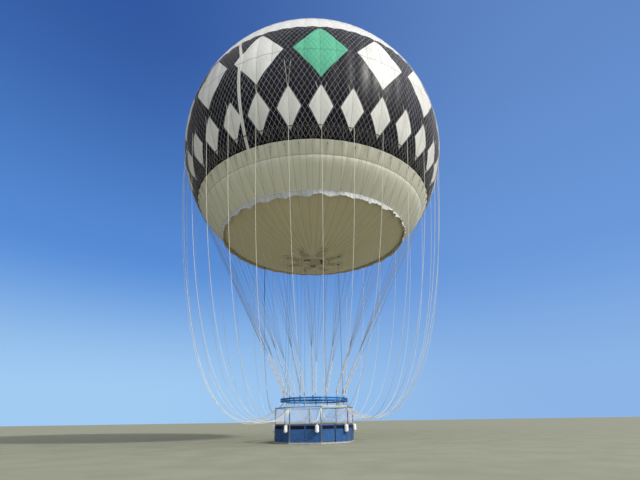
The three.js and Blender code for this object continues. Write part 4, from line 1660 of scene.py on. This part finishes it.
    def _patches(self) -> None:
        """Eight sewn patches, each with a dark pad and an eye for its line."""
        lay = self.layout
        cloth, pads = Shape(), Shape()
        for i in range(lay.sides):
            azimuth = lay.patch_azimuth(i)
            place = spot(azimuth, -lay.patch_radius, float(lay.cap_z(lay.patch_radius)))
            cloth.lathe([(0, -0.05), (0.16, -0.048), (0.3, -0.034), (0.31, -0.02), (0, -0.018)], place, 20)
            for arm in range(6):
                strap = place @ facing(arm * 60 + 30)
                cloth.block((-0.035, -0.44, -0.044), (0.035, 0.0, -0.03), strap, edge=0.004)
            for arm in range(7):
                tuck = place @ facing(arm * 51.4 + 13 * i)
                reach = 0.2 + 0.12 * sin(arm * 2.1 + i)
                pads.tube([(0, 0, -0.058), (0.02, -reach * 0.5, -0.053), (0, -reach, -0.036)],
                          (0.022, 0.014, 0.005), 6, place=tuck)
            pads.lathe([(0, -0.066), (0.045, -0.064), (0.072, -0.054), (0.076, -0.044), (0, -0.044)], place, 18)
            turn = np.linspace(0, 2 * pi, 15)[:-1]
            eye = np.column_stack([0.028 * np.cos(turn), 0 * turn, -0.085 + 0.028 * np.sin(turn)])
            pads.tube(eye, 0.007, 6, closed=True, place=place)
        self.piece(cloth, "anchor_patches", "plate_cloth")
        self.piece(pads, "anchor_pads", "pad_brown", slot="dark_fitting")


# Load ring, bridle and tether


def rounded_loop(corners: Sequence[Vector], radius: float, closed: bool = True) -> Array:
    """A path through corners, each rounded off.

    Args:
        corners: The sharp corners in order.
        radius: Distance from a corner at which its curve starts.
        closed: Whether the path returns to its start.

    Returns:
        Rows of x, y, z.
    """
    path = []
    count = len(corners)
    for i, corner in enumerate(corners):
        if not closed and i in (0, count - 1):
            path.append(corner)
            continue
        before = corner + (corners[i - 1] - corner).normalized() * radius
        after = corner + (corners[(i + 1) % count] - corner).normalized() * radius
        for t in (0.0, 0.25, 0.5, 0.75, 1.0):
            path.append(before.lerp(corner, t).lerp(corner.lerp(after, t), t))
    return np.array(path)


@dataclass
class LoadRing(Part):
    """Two octagonal tubes joined by lugs, with the bridle under them."""

    tube: float = 0.05
    lower: float = 2.44
    upper: float = 2.58
    socket: float = 0.7
    clevis: float = 2.425
    lug_pins: tuple[float, float] = (2.36, 2.655)

    def height(self, above: float) -> float:
        """A height above the gondola's base in the frame."""
        return self.layout.base_z + above

    def build(self) -> None:
        """Makes the ring, the bridle, the swivel and the tether cable."""
        self._ring()
        self._bridle()
        self._tether()

    def _ring(self) -> None:
        """The tubes, their lugs and posts."""
        lay, shape = self.layout, Shape()
        for above in (self.lower, self.upper):
            points = [lay.corner(i, lay.ring_corner, above) for i in range(lay.sides)]
            shape.tube(rounded_loop(points, 0.16), self.tube, 16, closed=True)
        for leg in range(lay.legs):
            place = spot(lay.leg_azimuth(leg), -lay.knot_radius, lay.base_z)
            shape.block((-0.045, -0.008, 2.33), (0.045, 0.008, lay.lug_height), place, edge=0.006)
            for above in self.lug_pins:
                pin = place @ slide(0, 0, above) @ Matrix.Rotation(pi / 2, 4, "X")
                shape.lathe([(0, -0.016), (0.016, -0.014), (0.018, 0.0), (0.016, 0.014), (0, 0.016)], pin, 10, slot=1)
        for corner in range(lay.sides):
            azimuth = lay.corner_azimuth(corner)
            place = spot(azimuth, 0, lay.base_z)
            shape.block((-0.03, -lay.ring_corner, 2.38), (0.03, -lay.ring_corner + 0.11, 2.47), place, edge=0.006)
            shape.tube([polar(azimuth, lay.ring_corner - 0.02, self.height(h)) for h in (self.lower, self.upper)], 0.03,
                       10)
            for above in (self.lower, self.upper):
                for along in (-0.22, 0.22):
                    clip = place @ slide(along, -lay.ring_corner + abs(along) * 0.41, above)
                    turned = clip @ Matrix.Rotation(radians(22.5) * (1 if along > 0 else -1), 4, "Z")
                    shape.ring(band(0.049, 0.055, 0.0, 0.02, 0.002), turned @ LYING, 16)
        self.piece(shape, "load_ring_fine", "ring_blue", "steel")

    def _bridle(self) -> None:
        """Eight sheathed cables down to the socket, each with its fitting."""
        lay, shape = self.layout, Shape()
        for corner in range(lay.sides):
            azimuth = lay.corner_azimuth(corner)
            low = lay.corner(corner, 0.05, self.socket + 0.016)
            high = lay.corner(corner, lay.ring_corner - 0.15, self.clevis)
            shape.tube([low.lerp(high, t) for t in np.linspace(0, 1, 5)], 0.012, 8)
            shape.tube([low.lerp(high, t) for t in (0.9, 0.91, 0.985, 1.0)], (0.014, 0.022, 0.022, 0.014), 8, slot=1)
            place = spot(azimuth, -lay.ring_corner + 0.14, self.height(self.clevis))
            shape.block((-0.022, -0.03, -0.035), (0.022, 0.03, 0.025), place, slot=1, edge=0.006)
        place = slide(0, 0, lay.base_z)
        shape.lathe([(0, 0.61), (0.055, 0.61), (0.075, 0.63), (0.075, 0.75), (0.06, 0.78), (0.03, 0.79), (0, 0.79)],
                    place, 24, slot=1)
        self.piece(shape, "bridle_fine", "sheath", "steel", slot="steel_rope")

    def _tether(self) -> None:
        """The swivel's housing and eye, and the cable down to its socket."""
        place = slide(0, 0, self.layout.base_z)
        housing = Shape()
        housing.lathe([(0, 0.46), (0.06, 0.46), (0.068, 0.475), (0.068, 0.57), (0.05, 0.6097), (0, 0.6097)], place, 28)
        for i in range(6):
            bolt = place @ spot(60 * i, -0.055, 0.46)
            housing.lathe([(0, -0.006), (0.007, -0.006), (0.007, 0.004), (0, 0.004)], bolt, 6)
        self.piece(housing, "swivel_housing_fine", "steel")
        eye = Shape()
        eye.lathe([(0, 0.35), (0.036, 0.35), (0.05, 0.365), (0.055, 0.385), (0.055, 0.43), (0.048, 0.4535),
                   (0, 0.4535)], place, 24)
        self.piece(eye, "swivel_eye_fine", "steel", body=Body.TETHER)
        cable = Shape()
        cable.tube([(0, 0, self.height(h)) for h in (0.1, 0.18, 0.26, 0.3497)], 0.015, 16)
        cable.lathe([(0, 0.0), (0.03, 0.0), (0.034, 0.006), (0.034, 0.088), (0.026, 0.112), (0.017, 0.13), (0, 0.13)],
                    place, 20, slot=1)
        self.piece(cable, "tether_cable_fine", "steel_rope", "steel", body=Body.TETHER)


# Gondola


@dataclass
class Gondola(Part):
    """Walls, rails, net, fenders, deck and the boarding gate."""

    wall_bottom: float = 0.1003
    wall_top: float = 1.04
    wall_thick: float = 0.03
    post: float = 0.03
    top_rail: float = 1.0653
    top_rail_radius: float = 0.025
    upper_rail_radius: float = 0.022
    base_apothem: float = 2.443
    well_apothem: float = 0.9003
    deck_top: float = 0.14
    hinge_out: float = 2.363
    hanger_top: float = 2.29
    clevis_foot: float = 2.2597
    net_pitch: float = 0.13
    gate_side: int = 0
    jamb_half: float = 0.025
    gate_bottom: float = 0.15
    latch_height: float = 0.9
    knuckles: tuple[float, float] = (0.26, 0.88)
    fender_radius: float = 0.12
    fender_length: float = 0.46
    fender_top: float = 1.06
    fender_along: float = 0.77

    @property
    def side_half(self) -> float:
        """Half the length of one side."""
        return self.layout.wall_apothem * tan(pi / self.layout.sides)

    @property
    def gate_far(self) -> float:
        """Where the gate's free edge is."""
        return -(self.side_half - self.post - 0.011)

    def place(self, side: int) -> Matrix:
        """Frame of one side: along, outwards negative, height above the base."""
        return spot(self.layout.side_azimuth(side), 0, self.layout.base_z)

    def build(self) -> None:
        """Makes every piece of the gondola."""
        for side in range(self.layout.sides):
            self._wall(side)
            self._fender(side)
        self._frame()
        self._safety_net()
        self._gate()
        self._latch()
        self._deck()
        self._trim()

    def _panel(self, shape: Shape, place: Matrix, left: float, right: float, bottom: float) -> None:
        """One framed panel with a dark recessed strip near its top and a row of rivets round it.

        Args:
            shape: Takes the panel.
            place: The side's frame.
            left: Its left edge.
            right: Its right edge.
            bottom: Its lower edge.
        """
        out, half, edge, top = self.layout.wall_apothem, self.wall_thick / 2, 0.045, self.wall_top
        shape.block((left + 0.01, -out - half + 0.007, bottom + 0.01), (right - 0.01, -out + half - 0.007, top - 0.01),
                    place)
        for (a, low), (b, high) in (
                ((left, bottom), (left + edge, top)), ((right - edge, bottom), (right, top)),
                ((left + edge, bottom), (right - edge, bottom + 0.06)),
                ((left + edge, top - 0.05), (right - edge, top)),
                ((left + edge, top - 0.27), (right - edge, top - 0.24))):
            shape.block((a, -out - half, low), (b, -out + half, high), place, edge=0.003)
        shape.block((left + edge, -out - half + 0.003, top - 0.24), (right - edge, -out - half + 0.01, top - 0.05),
                    place, slot=1)
        rivets = [(a, bottom + 0.05 + (top - bottom - 0.1) * step / 8)
                  for a in (left + edge / 2, right - edge / 2) for step in range(9)]
        rivets += [(left + (right - left) * step / 7, z)
                   for step in range(1, 7) for z in (bottom + 0.03, top - 0.255, top - 0.025)]
        for a, z in rivets:
            shape.blob((a, -out - half, z), (0.007, 0.004, 0.007), place, 2, 6)

    def _wall(self, side: int) -> None:
        """The panels of one side.

        Args:
            side: The side.
        """
        shape, place = Shape(), self.place(side)
        end, out = self.side_half - self.post - 0.002, self.layout.wall_apothem
        if side == self.gate_side:
            self._panel(shape, place, self.jamb_half + 0.0003, end, self.wall_bottom)
        else:
            self._panel(shape, place, -end, -0.006, self.wall_bottom)
            self._panel(shape, place, 0.006, end, self.wall_bottom)
            shape.block((-0.04, -out + 0.005, self.wall_bottom + 0.06), (0.04, -out + 0.035, self.wall_top - 0.02),
                        place, edge=0.004)
            shape.block((-0.012, -out - self.wall_thick / 2 - 0.002, self.wall_bottom),
                        (0.012, -out - 0.004, self.wall_top), place, slot=1)
        self.piece(shape, f"wall_side_{side + 1}_fine", "wall_blue", "wall_dark", "steel")

    def _fender(self, side: int) -> None:
        """A moulded fender hung from the top rail on its rope.

        Args:
            side: The side.
        """
        shape, place = Shape(), self.place(side)
        radius, top, length = self.fender_radius, self.fender_top, self.fender_length
        out = self.layout.wall_apothem + self.wall_thick / 2 + radius + 0.0003
        turns = [pi / 2 * i / 8 for i in range(9)]
        body = [(radius * sin(turn), top - length + 0.09 - 0.09 * cos(turn)) for turn in turns]
        for z in (0.14, 0.17, 0.29, 0.32):
            body += [(radius, top - length + z - 0.008), (radius - 0.003, top - length + z)]
        body += [(radius * sin(turn), top - 0.09 + 0.075 * cos(turn)) for turn in reversed(turns)]
        hung = place @ slide(self.fender_along, -out, 0)
        shape.lathe(body, hung, 28)
        shape.ring(band(0.012, 0.026, top, 0.012), hung, 14)
        loop = [(0, 0, top - 0.01), (0, 0, top + 0.02), (0, 0.05, top + 0.035), (0, out - 2.43, top + 0.03)]
        shape.tube(loop, 0.009, 8, slot=1, place=hung)
        wrap = place @ slide(self.fender_along, -self.layout.wall_apothem, self.top_rail) @ LYING
        for shift in (-0.018, 0.0, 0.018):
            shape.ring(band(0.0255, 0.042, shift, 0.008, 0.002), wrap, 14, slot=1)
        self.piece(shape, f"fender_{side + 1}_fine", "white_plastic", "rope")

    def _frame(self) -> None:
        """Posts, rails, hangers and the gate's jamb."""
        lay, shape = self.layout, Shape()
        upper = lay.upper_rail_height
        for corner in range(lay.sides):
            azimuth = lay.corner_azimuth(corner)
            foot = spot(azimuth, -lay.corner_radius, lay.base_z)
            shape.lathe([(0, self.wall_bottom), (self.post, self.wall_bottom), (self.post, upper - 0.03),
                         (self.post + 0.004, upper - 0.02), (self.post + 0.004, upper + 0.024), (0.018, upper + 0.034),
                         (0, upper + 0.036)], foot, 18)
            for above in (self.top_rail, self.deck_top):
                shape.ring(band(self.post - 0.002, self.post + 0.008, above, 0.04, 0.004), foot, 18, slot=1)
        rail = [lay.corner(i, lay.corner_radius, upper) for i in range(lay.sides)]
        shape.tube(rounded_loop(rail, 0.1), self.upper_rail_radius, 14, closed=True)
        start = self.place(self.gate_side) @ Vector((0, -lay.wall_apothem, self.top_rail))
        top = [start] + [lay.corner(i, lay.corner_radius, self.top_rail) for i in range(1, lay.sides + 1)]
        shape.tube(rounded_loop(top, 0.06, closed=False), self.top_rail_radius, 14)
        for leg in range(lay.legs):
            azimuth = lay.leg_azimuth(leg)
            low = polar(azimuth, lay.rail_radius, lay.base_z + upper)
            high = polar(azimuth, lay.knot_radius, lay.base_z + self.hanger_top)
            shape.tube([low, low.lerp(high, 0.5), high], 0.01, 8)
            clevis = spot(azimuth, -lay.knot_radius, lay.base_z + self.clevis_foot)
            shape.block((-0.03, -0.016, 0.0), (0.03, 0.016, 0.07), clevis, slot=1, edge=0.006)
            clamp = spot(azimuth, -lay.rail_radius, lay.base_z + upper) @ LYING
            shape.ring(band(0.021, 0.029, 0.0, 0.025, 0.003), clamp, 14, slot=1)
        gate = self.place(self.gate_side)
        half, out = self.jamb_half, lay.wall_apothem
        shape.block((-half, -out - half, self.wall_bottom), (half, -out + half, self.top_rail + 0.025), gate, slot=2,
                    edge=0.005)
        for z in self.knuckles:
            for side in (-1, 1):
                near, far = sorted((z + side * 0.0405, z + side * 0.0555))
                shape.block((-0.0365, -out + half - 0.005, near), (0.0, -self.hinge_out + 0.009, far), gate, slot=1)
        self.piece(shape, "gondola_frame_fine", "frame_grey", "steel", "wall_dark")

    def _safety_net(self) -> None:
        """Diamond netting between the two rails, open over the gate."""
        shape, lay = Shape(), self.layout
        low, high, pitch = self.top_rail + 0.02, lay.upper_rail_height - 0.02, self.net_pitch
        end = self.side_half - self.post
        for side in range(lay.sides):
            left = self.jamb_half if side == self.gate_side else -end
            place = self.place(side)
            for direction in (1, -1):
                start = left - (high - low) if direction == 1 else left
                steps = int((end - left + high - low) / pitch) + 1
                for k in range(steps):
                    foot = start + pitch * (k + 0.5)
                    line = self._clip([(foot, low), (foot + direction * (high - low), high)], left, end)
                    if line is not None:
                        shape.tube([(a, -lay.wall_apothem, z) for a, z in line], 0.003, 4, place=place)
            for z in (low, (low + high) / 2, high):
                shape.tube([(a, -lay.wall_apothem, z) for a in (left, end)], 0.004, 5, place=place)
        self.piece(shape, "safety_net", "net_cord", slot="rope")

    @staticmethod
    def _clip(ends: list[tuple[float, float]], left: float, right: float) -> list[tuple[float, float]] | None:
        """Cuts a slanting line to the width between two uprights, or gives None where nothing is left.

        Args:
            ends: Its two ends.
            left: Left upright.
            right: Right upright.

        Returns:
            The two ends left, if any.
        """
        (a0, z0), (a1, z1) = sorted(ends)
        slope = (z1 - z0) / (a1 - a0)
        first, last = max(a0, left), min(a1, right)
        if last - first < 0.01:
            return None
        return [(first, z0 + slope * (first - a0)), (last, z0 + slope * (last - a0))]

    def _gate(self) -> None:
        """The gate's panel, cap, straps and knuckles."""
        shape, place = Shape(), self.place(self.gate_side)
        out, half = self.layout.wall_apothem, self.wall_thick / 2
        far, near = self.gate_far, -self.jamb_half - 0.007
        self._panel(shape, place, far, near, self.gate_bottom)
        shape.block((far, -out - half - 0.005, self.wall_top - 0.005),
                    (near, -out + half + 0.005, self.wall_top + 0.045), place, slot=3, edge=0.008)
        for z in self.knuckles:
            pin = place @ slide(-self.jamb_half - 0.0035, -self.hinge_out, z)
            shape.lathe([(0, -0.04), (0.0085, -0.04), (0.009, -0.036), (0.009, 0.036), (0.0085, 0.04), (0, 0.04)], pin,
                        16, slot=2)
            shape.block((near - 0.06, -out + half - 0.001, z - 0.035),
                        (-self.jamb_half - 0.0035, -self.hinge_out + 0.004, z + 0.035), place, slot=2, edge=0.003)
        self.piece(shape, "boarding_gate_fine", "wall_blue", "wall_dark", "steel", "frame_grey", body=Body.GATE)

    def _latch(self) -> None:
        """The gate's slide bolt and its knob."""
        shape, place = Shape(), self.place(self.gate_side)
        far, face, z = self.gate_far, self.layout.wall_apothem - self.wall_thick / 2, self.latch_height
        shape.block((far + 0.01, -face, z - 0.035), (far + 0.17, -face + 0.0177, z + 0.035), place, edge=0.004)
        shape.tube([(a, -face + 0.0243, z) for a in (far, far + 0.18)], 0.01, 12, place=place)
        shape.tube([(far + 0.13, -face + y, z) for y in (0.024, 0.09)], 0.008, 10, place=place)
        shape.blob((far + 0.13, -face + 0.082, z), (0.013, 0.01, 0.013), place, segments=12)
        self.piece(shape, "gate_latch_fine", "steel", body=Body.GATE)

    def _deck(self) -> None:
        """Tread plates, one for each side, with their screws."""
        shape, lay = Shape(), self.layout
        inner, outer = self.well_apothem, self.base_apothem - 0.08
        factor, gap, high = tan(pi / lay.sides), 0.003, self.deck_top
        for side in range(lay.sides):
            place = self.place(side)
            corner = [(-inner * factor + gap, -inner), (inner * factor - gap, -inner),
                      (outer * factor - gap, -outer), (-outer * factor + gap, -outer)]
            rings = np.array([[(x, y, z) for x, y in corner] for z in (self.wall_bottom, high)])
            shape.grid(moved(rings, place), caps=True)
            for out in (inner + 0.06, (inner + outer) / 2, outer - 0.06):
                for share in (-0.9, -0.3, 0.3, 0.9):
                    shape.blob((share * (out * factor - 0.05), -out, high), (0.012, 0.012, 0.003), place, 1, 8)
        self.piece(shape, "deck_plates", "deck_metal", "steel", node="deck")

    def _trim(self) -> None:
        """A rubbing strip round the base with rounded edges and bolts."""
        shape, lay = Shape(), self.layout
        factor = 1 / cos(pi / lay.sides)
        inner, outer = self.base_apothem + 0.0003, self.base_apothem + 0.018
        profile = ((inner, 0.005), (outer - 0.004, 0.005), (outer, 0.01), (outer, 0.065), (outer - 0.004, 0.07),
                   (inner, 0.07))
        shape.ring([(r * factor, lay.base_z + z) for r, z in profile], None, lay.sides, first=lay.first_corner)
        for side in range(lay.sides):
            for step in range(6):
                shape.blob(((step - 2.5) * 0.33, -outer, 0.038), (0.01, 0.005, 0.01), self.place(side), 1, 8)
        self.piece(shape, "base_trim_fine", "trim_grey", "steel")


@dataclass
class RailRopes(Part):
    """Spare rope lashed along the upper rail of one side."""

    side: int = 0
    strands: int = 5
    radius: float = 0.015
    spread: float = 0.036
    lashings: int = 6

    def build(self) -> None:
        """Makes the bundle and its lashings."""
        lay, shape = self.layout, Shape()
        half = lay.wall_apothem * tan(pi / lay.sides) - 0.06
        place = spot(lay.side_azimuth(self.side), -lay.wall_apothem, lay.base_z + lay.upper_rail_height)
        along = np.linspace(-half, half, 40)
        for strand in range(self.strands):
            turn = along * 5.0 + strand * 2 * pi / self.strands
            wander = self.spread * (1 + 0.15 * np.sin(along * 9 + strand * 2))
            path = np.column_stack([along, wander * np.cos(turn), wander * np.sin(turn)])
            shape.tube(path, self.radius, 8, place=place)
        across = place @ LYING
        for i in range(self.lashings):
            shift = -half + 0.08 + (2 * half - 0.16) * i / (self.lashings - 1)
            shape.ring(band(self.spread + 0.008, self.spread + 0.026, shift, 0.02, 0.004), across, 16)
        self.piece(shape, "rail_ropes", "rope")


@dataclass
class Palette:
    """Every finish of the object."""

    layout: Layout

    def materials(self) -> dict[str, Material]:
        """The finished materials by name, built once."""
        effects = Effects(self.layout.gores, self.layout.first_corner)
        return {finish.name: finish.material(effects) for finish in self.finishes()}

    def finishes(self) -> Sequence[Cloth | Painted | Rope]:
        """What each finish looks like.

        Returns:
            One for each name.
        """
        return (
            Cloth("crown_cloth", (0.77, 0.77, 0.73), (0.7, 0.695, 0.65), (0.5, 0.49, 0.46), roughness=0.45),
            Cloth("band_cloth", (0.003, 0.003, 0.007), (0.008, 0.008, 0.014), (0.004, 0.004, 0.006),
                  seam_strength=0.3, roughness=0.43, sheen=0.0, gloss=0.13, dirt=0.35, paint=self._motifs),
            Cloth("cream_cloth", (0.73, 0.71, 0.59), (0.65, 0.62, 0.51), (0.38, 0.36, 0.3), seam_width=0.03,
                  seam_strength=0.55, roughness=0.42, sheen=0.25, paint=self._ridge),
            # Underside: beige cloth darkened and yellowed to khaki as painted shade and painted reflected ground light.
            Cloth("khaki_cloth", (0.6, 0.53, 0.36), (0.52, 0.45, 0.29), (0.32, 0.27, 0.17), seam_width=0.03,
                  seam_strength=0.35, roughness=0.55, rumple=0.02, paint=self._lobes),
            # Skirt's inner face: the same cloth tinted khaki as painted shade and painted reflected ground light.
            Cloth("skirt_lining", (0.8, 0.72, 0.5), (0.7, 0.62, 0.42), (0.5, 0.43, 0.28), seam_strength=0.2,
                  roughness=0.65, rumple=0.01),
            # Skirt: its white cloth darkened to grey as painted shade.
            Cloth("skirt_cloth", (0.58, 0.59, 0.6), (0.49, 0.5, 0.52), (0.44, 0.45, 0.47), seam_strength=0.15,
                  roughness=0.6, rumple=0.01),
            Cloth("plate_cloth", (0.56, 0.49, 0.34), (0.46, 0.4, 0.27), (0.32, 0.27, 0.18), seam_strength=0.0,
                  roughness=0.7, rumple=0.015, paint=self._disc),
            Painted("valve_brown", (0.24, 0.2, 0.12), (0.14, 0.12, 0.08), 0.6, wear=0.3),
            Painted("pad_brown", (0.1, 0.085, 0.05), (0.16, 0.13, 0.08), 0.7, wear=0.3),
            Painted("fan_cream", (0.86, 0.8, 0.58), (0.62, 0.56, 0.4), 0.4, wear=0.3),
            Painted("white_plastic", (0.8, 0.8, 0.78), (0.55, 0.54, 0.5), 0.35, coat=0.2, wear=0.3),
            Painted("dark_fitting", (0.022, 0.02, 0.018), (0.06, 0.055, 0.05), 0.55, wear=0.4),
            Painted("sheath", (0.74, 0.73, 0.69), (0.42, 0.4, 0.36)),
            Painted("ring_blue", (0.012, 0.15, 0.45), (0.02, 0.08, 0.2), 0.34, gloss=0.25),
            Painted("steel", (0.45, 0.45, 0.45), (0.28, 0.26, 0.24), 0.42, 0.85),
            Painted("frame_grey", (0.17, 0.175, 0.18), (0.1, 0.1, 0.1), 0.45, 0.2),
            Painted("trim_grey", (0.52, 0.52, 0.5), (0.3, 0.28, 0.25), 0.5, 0.3),
            Painted("deck_metal", (0.3, 0.3, 0.3), (0.18, 0.17, 0.16), 0.62, 0.25, grain=60.0),
            Painted("wall_blue", (0.04, 0.12, 0.31), (0.03, 0.065, 0.14), 0.45, wear=0.6, gloss=0.08),
            Painted("wall_dark", (0.004, 0.007, 0.02), (0.012, 0.014, 0.02), 0.5, wear=0.3, gloss=0.1),
            Rope("rope", (0.82, 0.78, 0.67), (0.52, 0.48, 0.38)),
            Rope("bundle_rope", (0.72, 0.67, 0.62), (0.46, 0.41, 0.37)),
            # Taut ropes: white rope darkened to grey as painted shade, as when seen against the light.
            Rope("taut_line", (0.29, 0.275, 0.24), (0.17, 0.16, 0.14), pitch=0.08, depth=0.003),
            Rope("net_cord", (0.74, 0.71, 0.77), (0.52, 0.5, 0.55), pitch=0.06, depth=0.002),
            Rope("steel_rope", (0.42, 0.42, 0.42), (0.2, 0.2, 0.2), 6.0, 0.08, 0.002, 0.45, 0.85),
        )

    def _motifs(self, g: Graph, place: Socket, ground: Value) -> Value:
        """Two rows of lozenges and one plain upright stripe on the dark band.

        Args:
            g: The material's graph.
            place: The object's own coordinates.
            ground: Colour of the cloth.

        Returns:
            The colour with the design.
        """
        angle, _, z = g.polar(place)
        azimuth = g.times(angle, 180 / pi)
        latitude = g.times(g.math("ARCSINE", g.math("DIVIDE", z, self.layout.radius + 0.03)), 180 / pi)

        def row(pitch: float, shift: float, middle: float, half_width: float,
                half_height: float) -> tuple[Value, Value]:
            """Places a row of lozenges round the band.

            Args:
                pitch: Degrees from one to the next.
                shift: Turn of the row, in pitches.
                middle: Latitude of their middles.
                half_width: Degrees from the middle to a side corner.
                half_height: Degrees from the middle to the top.

            Returns:
                A value that reaches 1 at a lozenge's edge, and the lozenge's number.
            """
            turns = g.plus(g.math("DIVIDE", azimuth, pitch), shift)
            across = g.times(g.minus(g.math("FRACT", turns), 0.5), pitch / half_width)
            rise = g.math("DIVIDE", g.minus(latitude, middle), half_height)
            return g.plus(g.size(across), g.size(rise)), g.math("FLOOR", turns)

        white, green = (0.84, 0.83, 0.78), (0.1, 0.5, 0.3)
        large, index = row(22.5, 16.35, 2.5, 9.6, 13.2)
        small, _ = row(11.25, 32.2, -21.0, 4.3, 7.6)
        in_large, in_small = (g.spread(diamond, 0.988, 1.012, 1.0, 0.0) for diamond in (large, small))
        fourth = g.math("COMPARE", g.math("MODULO", index, 4.0), 0.0, 0.1)
        colour = g.mix(in_large, ground, g.mix(fourth, white, green))
        colour = g.mix(in_small, colour, white)
        from_stripe = g.size(g.plus(g.plus(azimuth, 26.1), g.spread(latitude, 4.0, 20.0, 0.0, 3.4)))
        colour = g.mix(g.spread(from_stripe, 0.55, 0.62, 1.0, 0.0), colour, white)
        colour = g.mix(g.spread(from_stripe, 0.05, 0.1, 0.6, 0.0), colour, (0.25, 0.25, 0.25))
        from_tape = g.size(g.minus(latitude, 1.5))
        return g.mix(g.spread(from_tape, 0.09, 0.14, 0.65, 0.0), colour, (0.03, 0.03, 0.035))

    def _ridge(self, g: Graph, place: Socket, ground: Value) -> Value:
        """A darker line along the ridge seam, and painted shade in fine upright creases above it.

        Args:
            g: The material's graph.
            place: The object's own coordinates.
            ground: Colour of the cloth.

        Returns:
            The colour with the design.
        """
        angle, _, z = g.polar(place)
        streaks = g.node("ShaderNodeCombineXYZ", {"X": g.times(angle, 60.0), "Y": g.times(z, 0.8)}).outputs[0]
        ridge_z = self.layout.radius * sin(radians(self.layout.ridge_latitude))
        # Painted shade in fine upright creases above the ridge.
        crease = g.times(g.spread(g.noise(streaks, 1.0, 4.0, 0.7), 0.45, 0.75), g.spread(z, ridge_z, ridge_z + 0.15))
        colour = g.mix(g.times(crease, 0.45), ground, (0.44, 0.42, 0.35))
        away = g.size(g.minus(z, ridge_z + 0.01))
        return g.mix(g.spread(away, 0.015, 0.045, 0.65, 0.0), colour, (0.36, 0.35, 0.29))

    def _lobes(self, g: Graph, place: Socket, ground: Value) -> Value:
        """Painted shade in lobes from the port to the anchor patches, with painted highlights along spokes between
        them.

        Args:
            g: The material's graph.
            place: The object's own coordinates.
            ground: Colour of the cloth.

        Returns:
            The colour with the painted shade and highlights.
        """
        angle, radius, _ = g.polar(place)
        first = radians(self.layout.patch_azimuth(0))
        lobe = g.math("COSINE", g.times(g.minus(angle, first), float(self.layout.sides)))
        ragged = g.times(g.noise(place, 3.0, 4.0, 0.6), 0.4)
        reach = g.plus(g.times(lobe, 0.55), g.plus(ragged, 1.45))
        # Painted shade inside the lobes; painted highlight along the spokes between them.
        inside = g.spread(g.minus(radius, reach), -0.14, 0.1, 0.7, 0.0)
        spokes = g.times(g.spread(lobe, -0.95, 0.1, 0.6, 0.0), g.spread(radius, 2.0, 2.6, 1.0, 0.0))
        return g.mix(spokes, g.mix(inside, ground, (0.27, 0.24, 0.15)), (0.66, 0.59, 0.43))

    def _disc(self, g: Graph, place: Socket, ground: Value) -> Value:
        """A darker inner disc on the port's plate.

        Args:
            g: The material's graph.
            place: The object's own coordinates.
            ground: Colour of the cloth.

        Returns:
            The colour with the design.
        """
        _, radius, _ = g.polar(place)
        ragged = g.plus(radius, g.times(g.noise(place, 2.5, 3.0, 0.6), 0.35))
        return g.mix(g.spread(ragged, 0.92, 1.06, 0.75, 0.0), ground, (0.33, 0.28, 0.21))


def dress_nodes(nodes: dict[str, Object], palette: dict[str, Material]) -> None:
    """Gives the solids that stay their finishes.

    Args:
        nodes: The frame's solids by name.
        palette: The materials by name.
    """
    for name, finish in (("base_frame", "steel"), ("well_wall", "wall_blue")):
        for slot in nodes[name].material_slots:
            slot.material = palette[finish]


def corners(bounds: tuple[Vector, Vector]) -> list[list[float]]:
    """Two corners as plain lists of numbers."""
    return [list(map(float, corner)) for corner in bounds]


def main() -> None:
    """Builds the scene in order."""
    logging.basicConfig(level=logging.INFO, format="%(message)s")
    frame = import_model()
    layout = Layout()
    Stage(layout).build()
    palette = Palette(layout).materials()
    for part in (MooringRopes, ServiceCable, Envelope, Net, RainSkirt, CrownValve, PortFittings, Suspension, LoadRing,
                 Gondola, RailRopes):
        part(layout, palette).build()
    dress_nodes(frame["nodes"], palette)


if __name__ == "__main__":
    main()
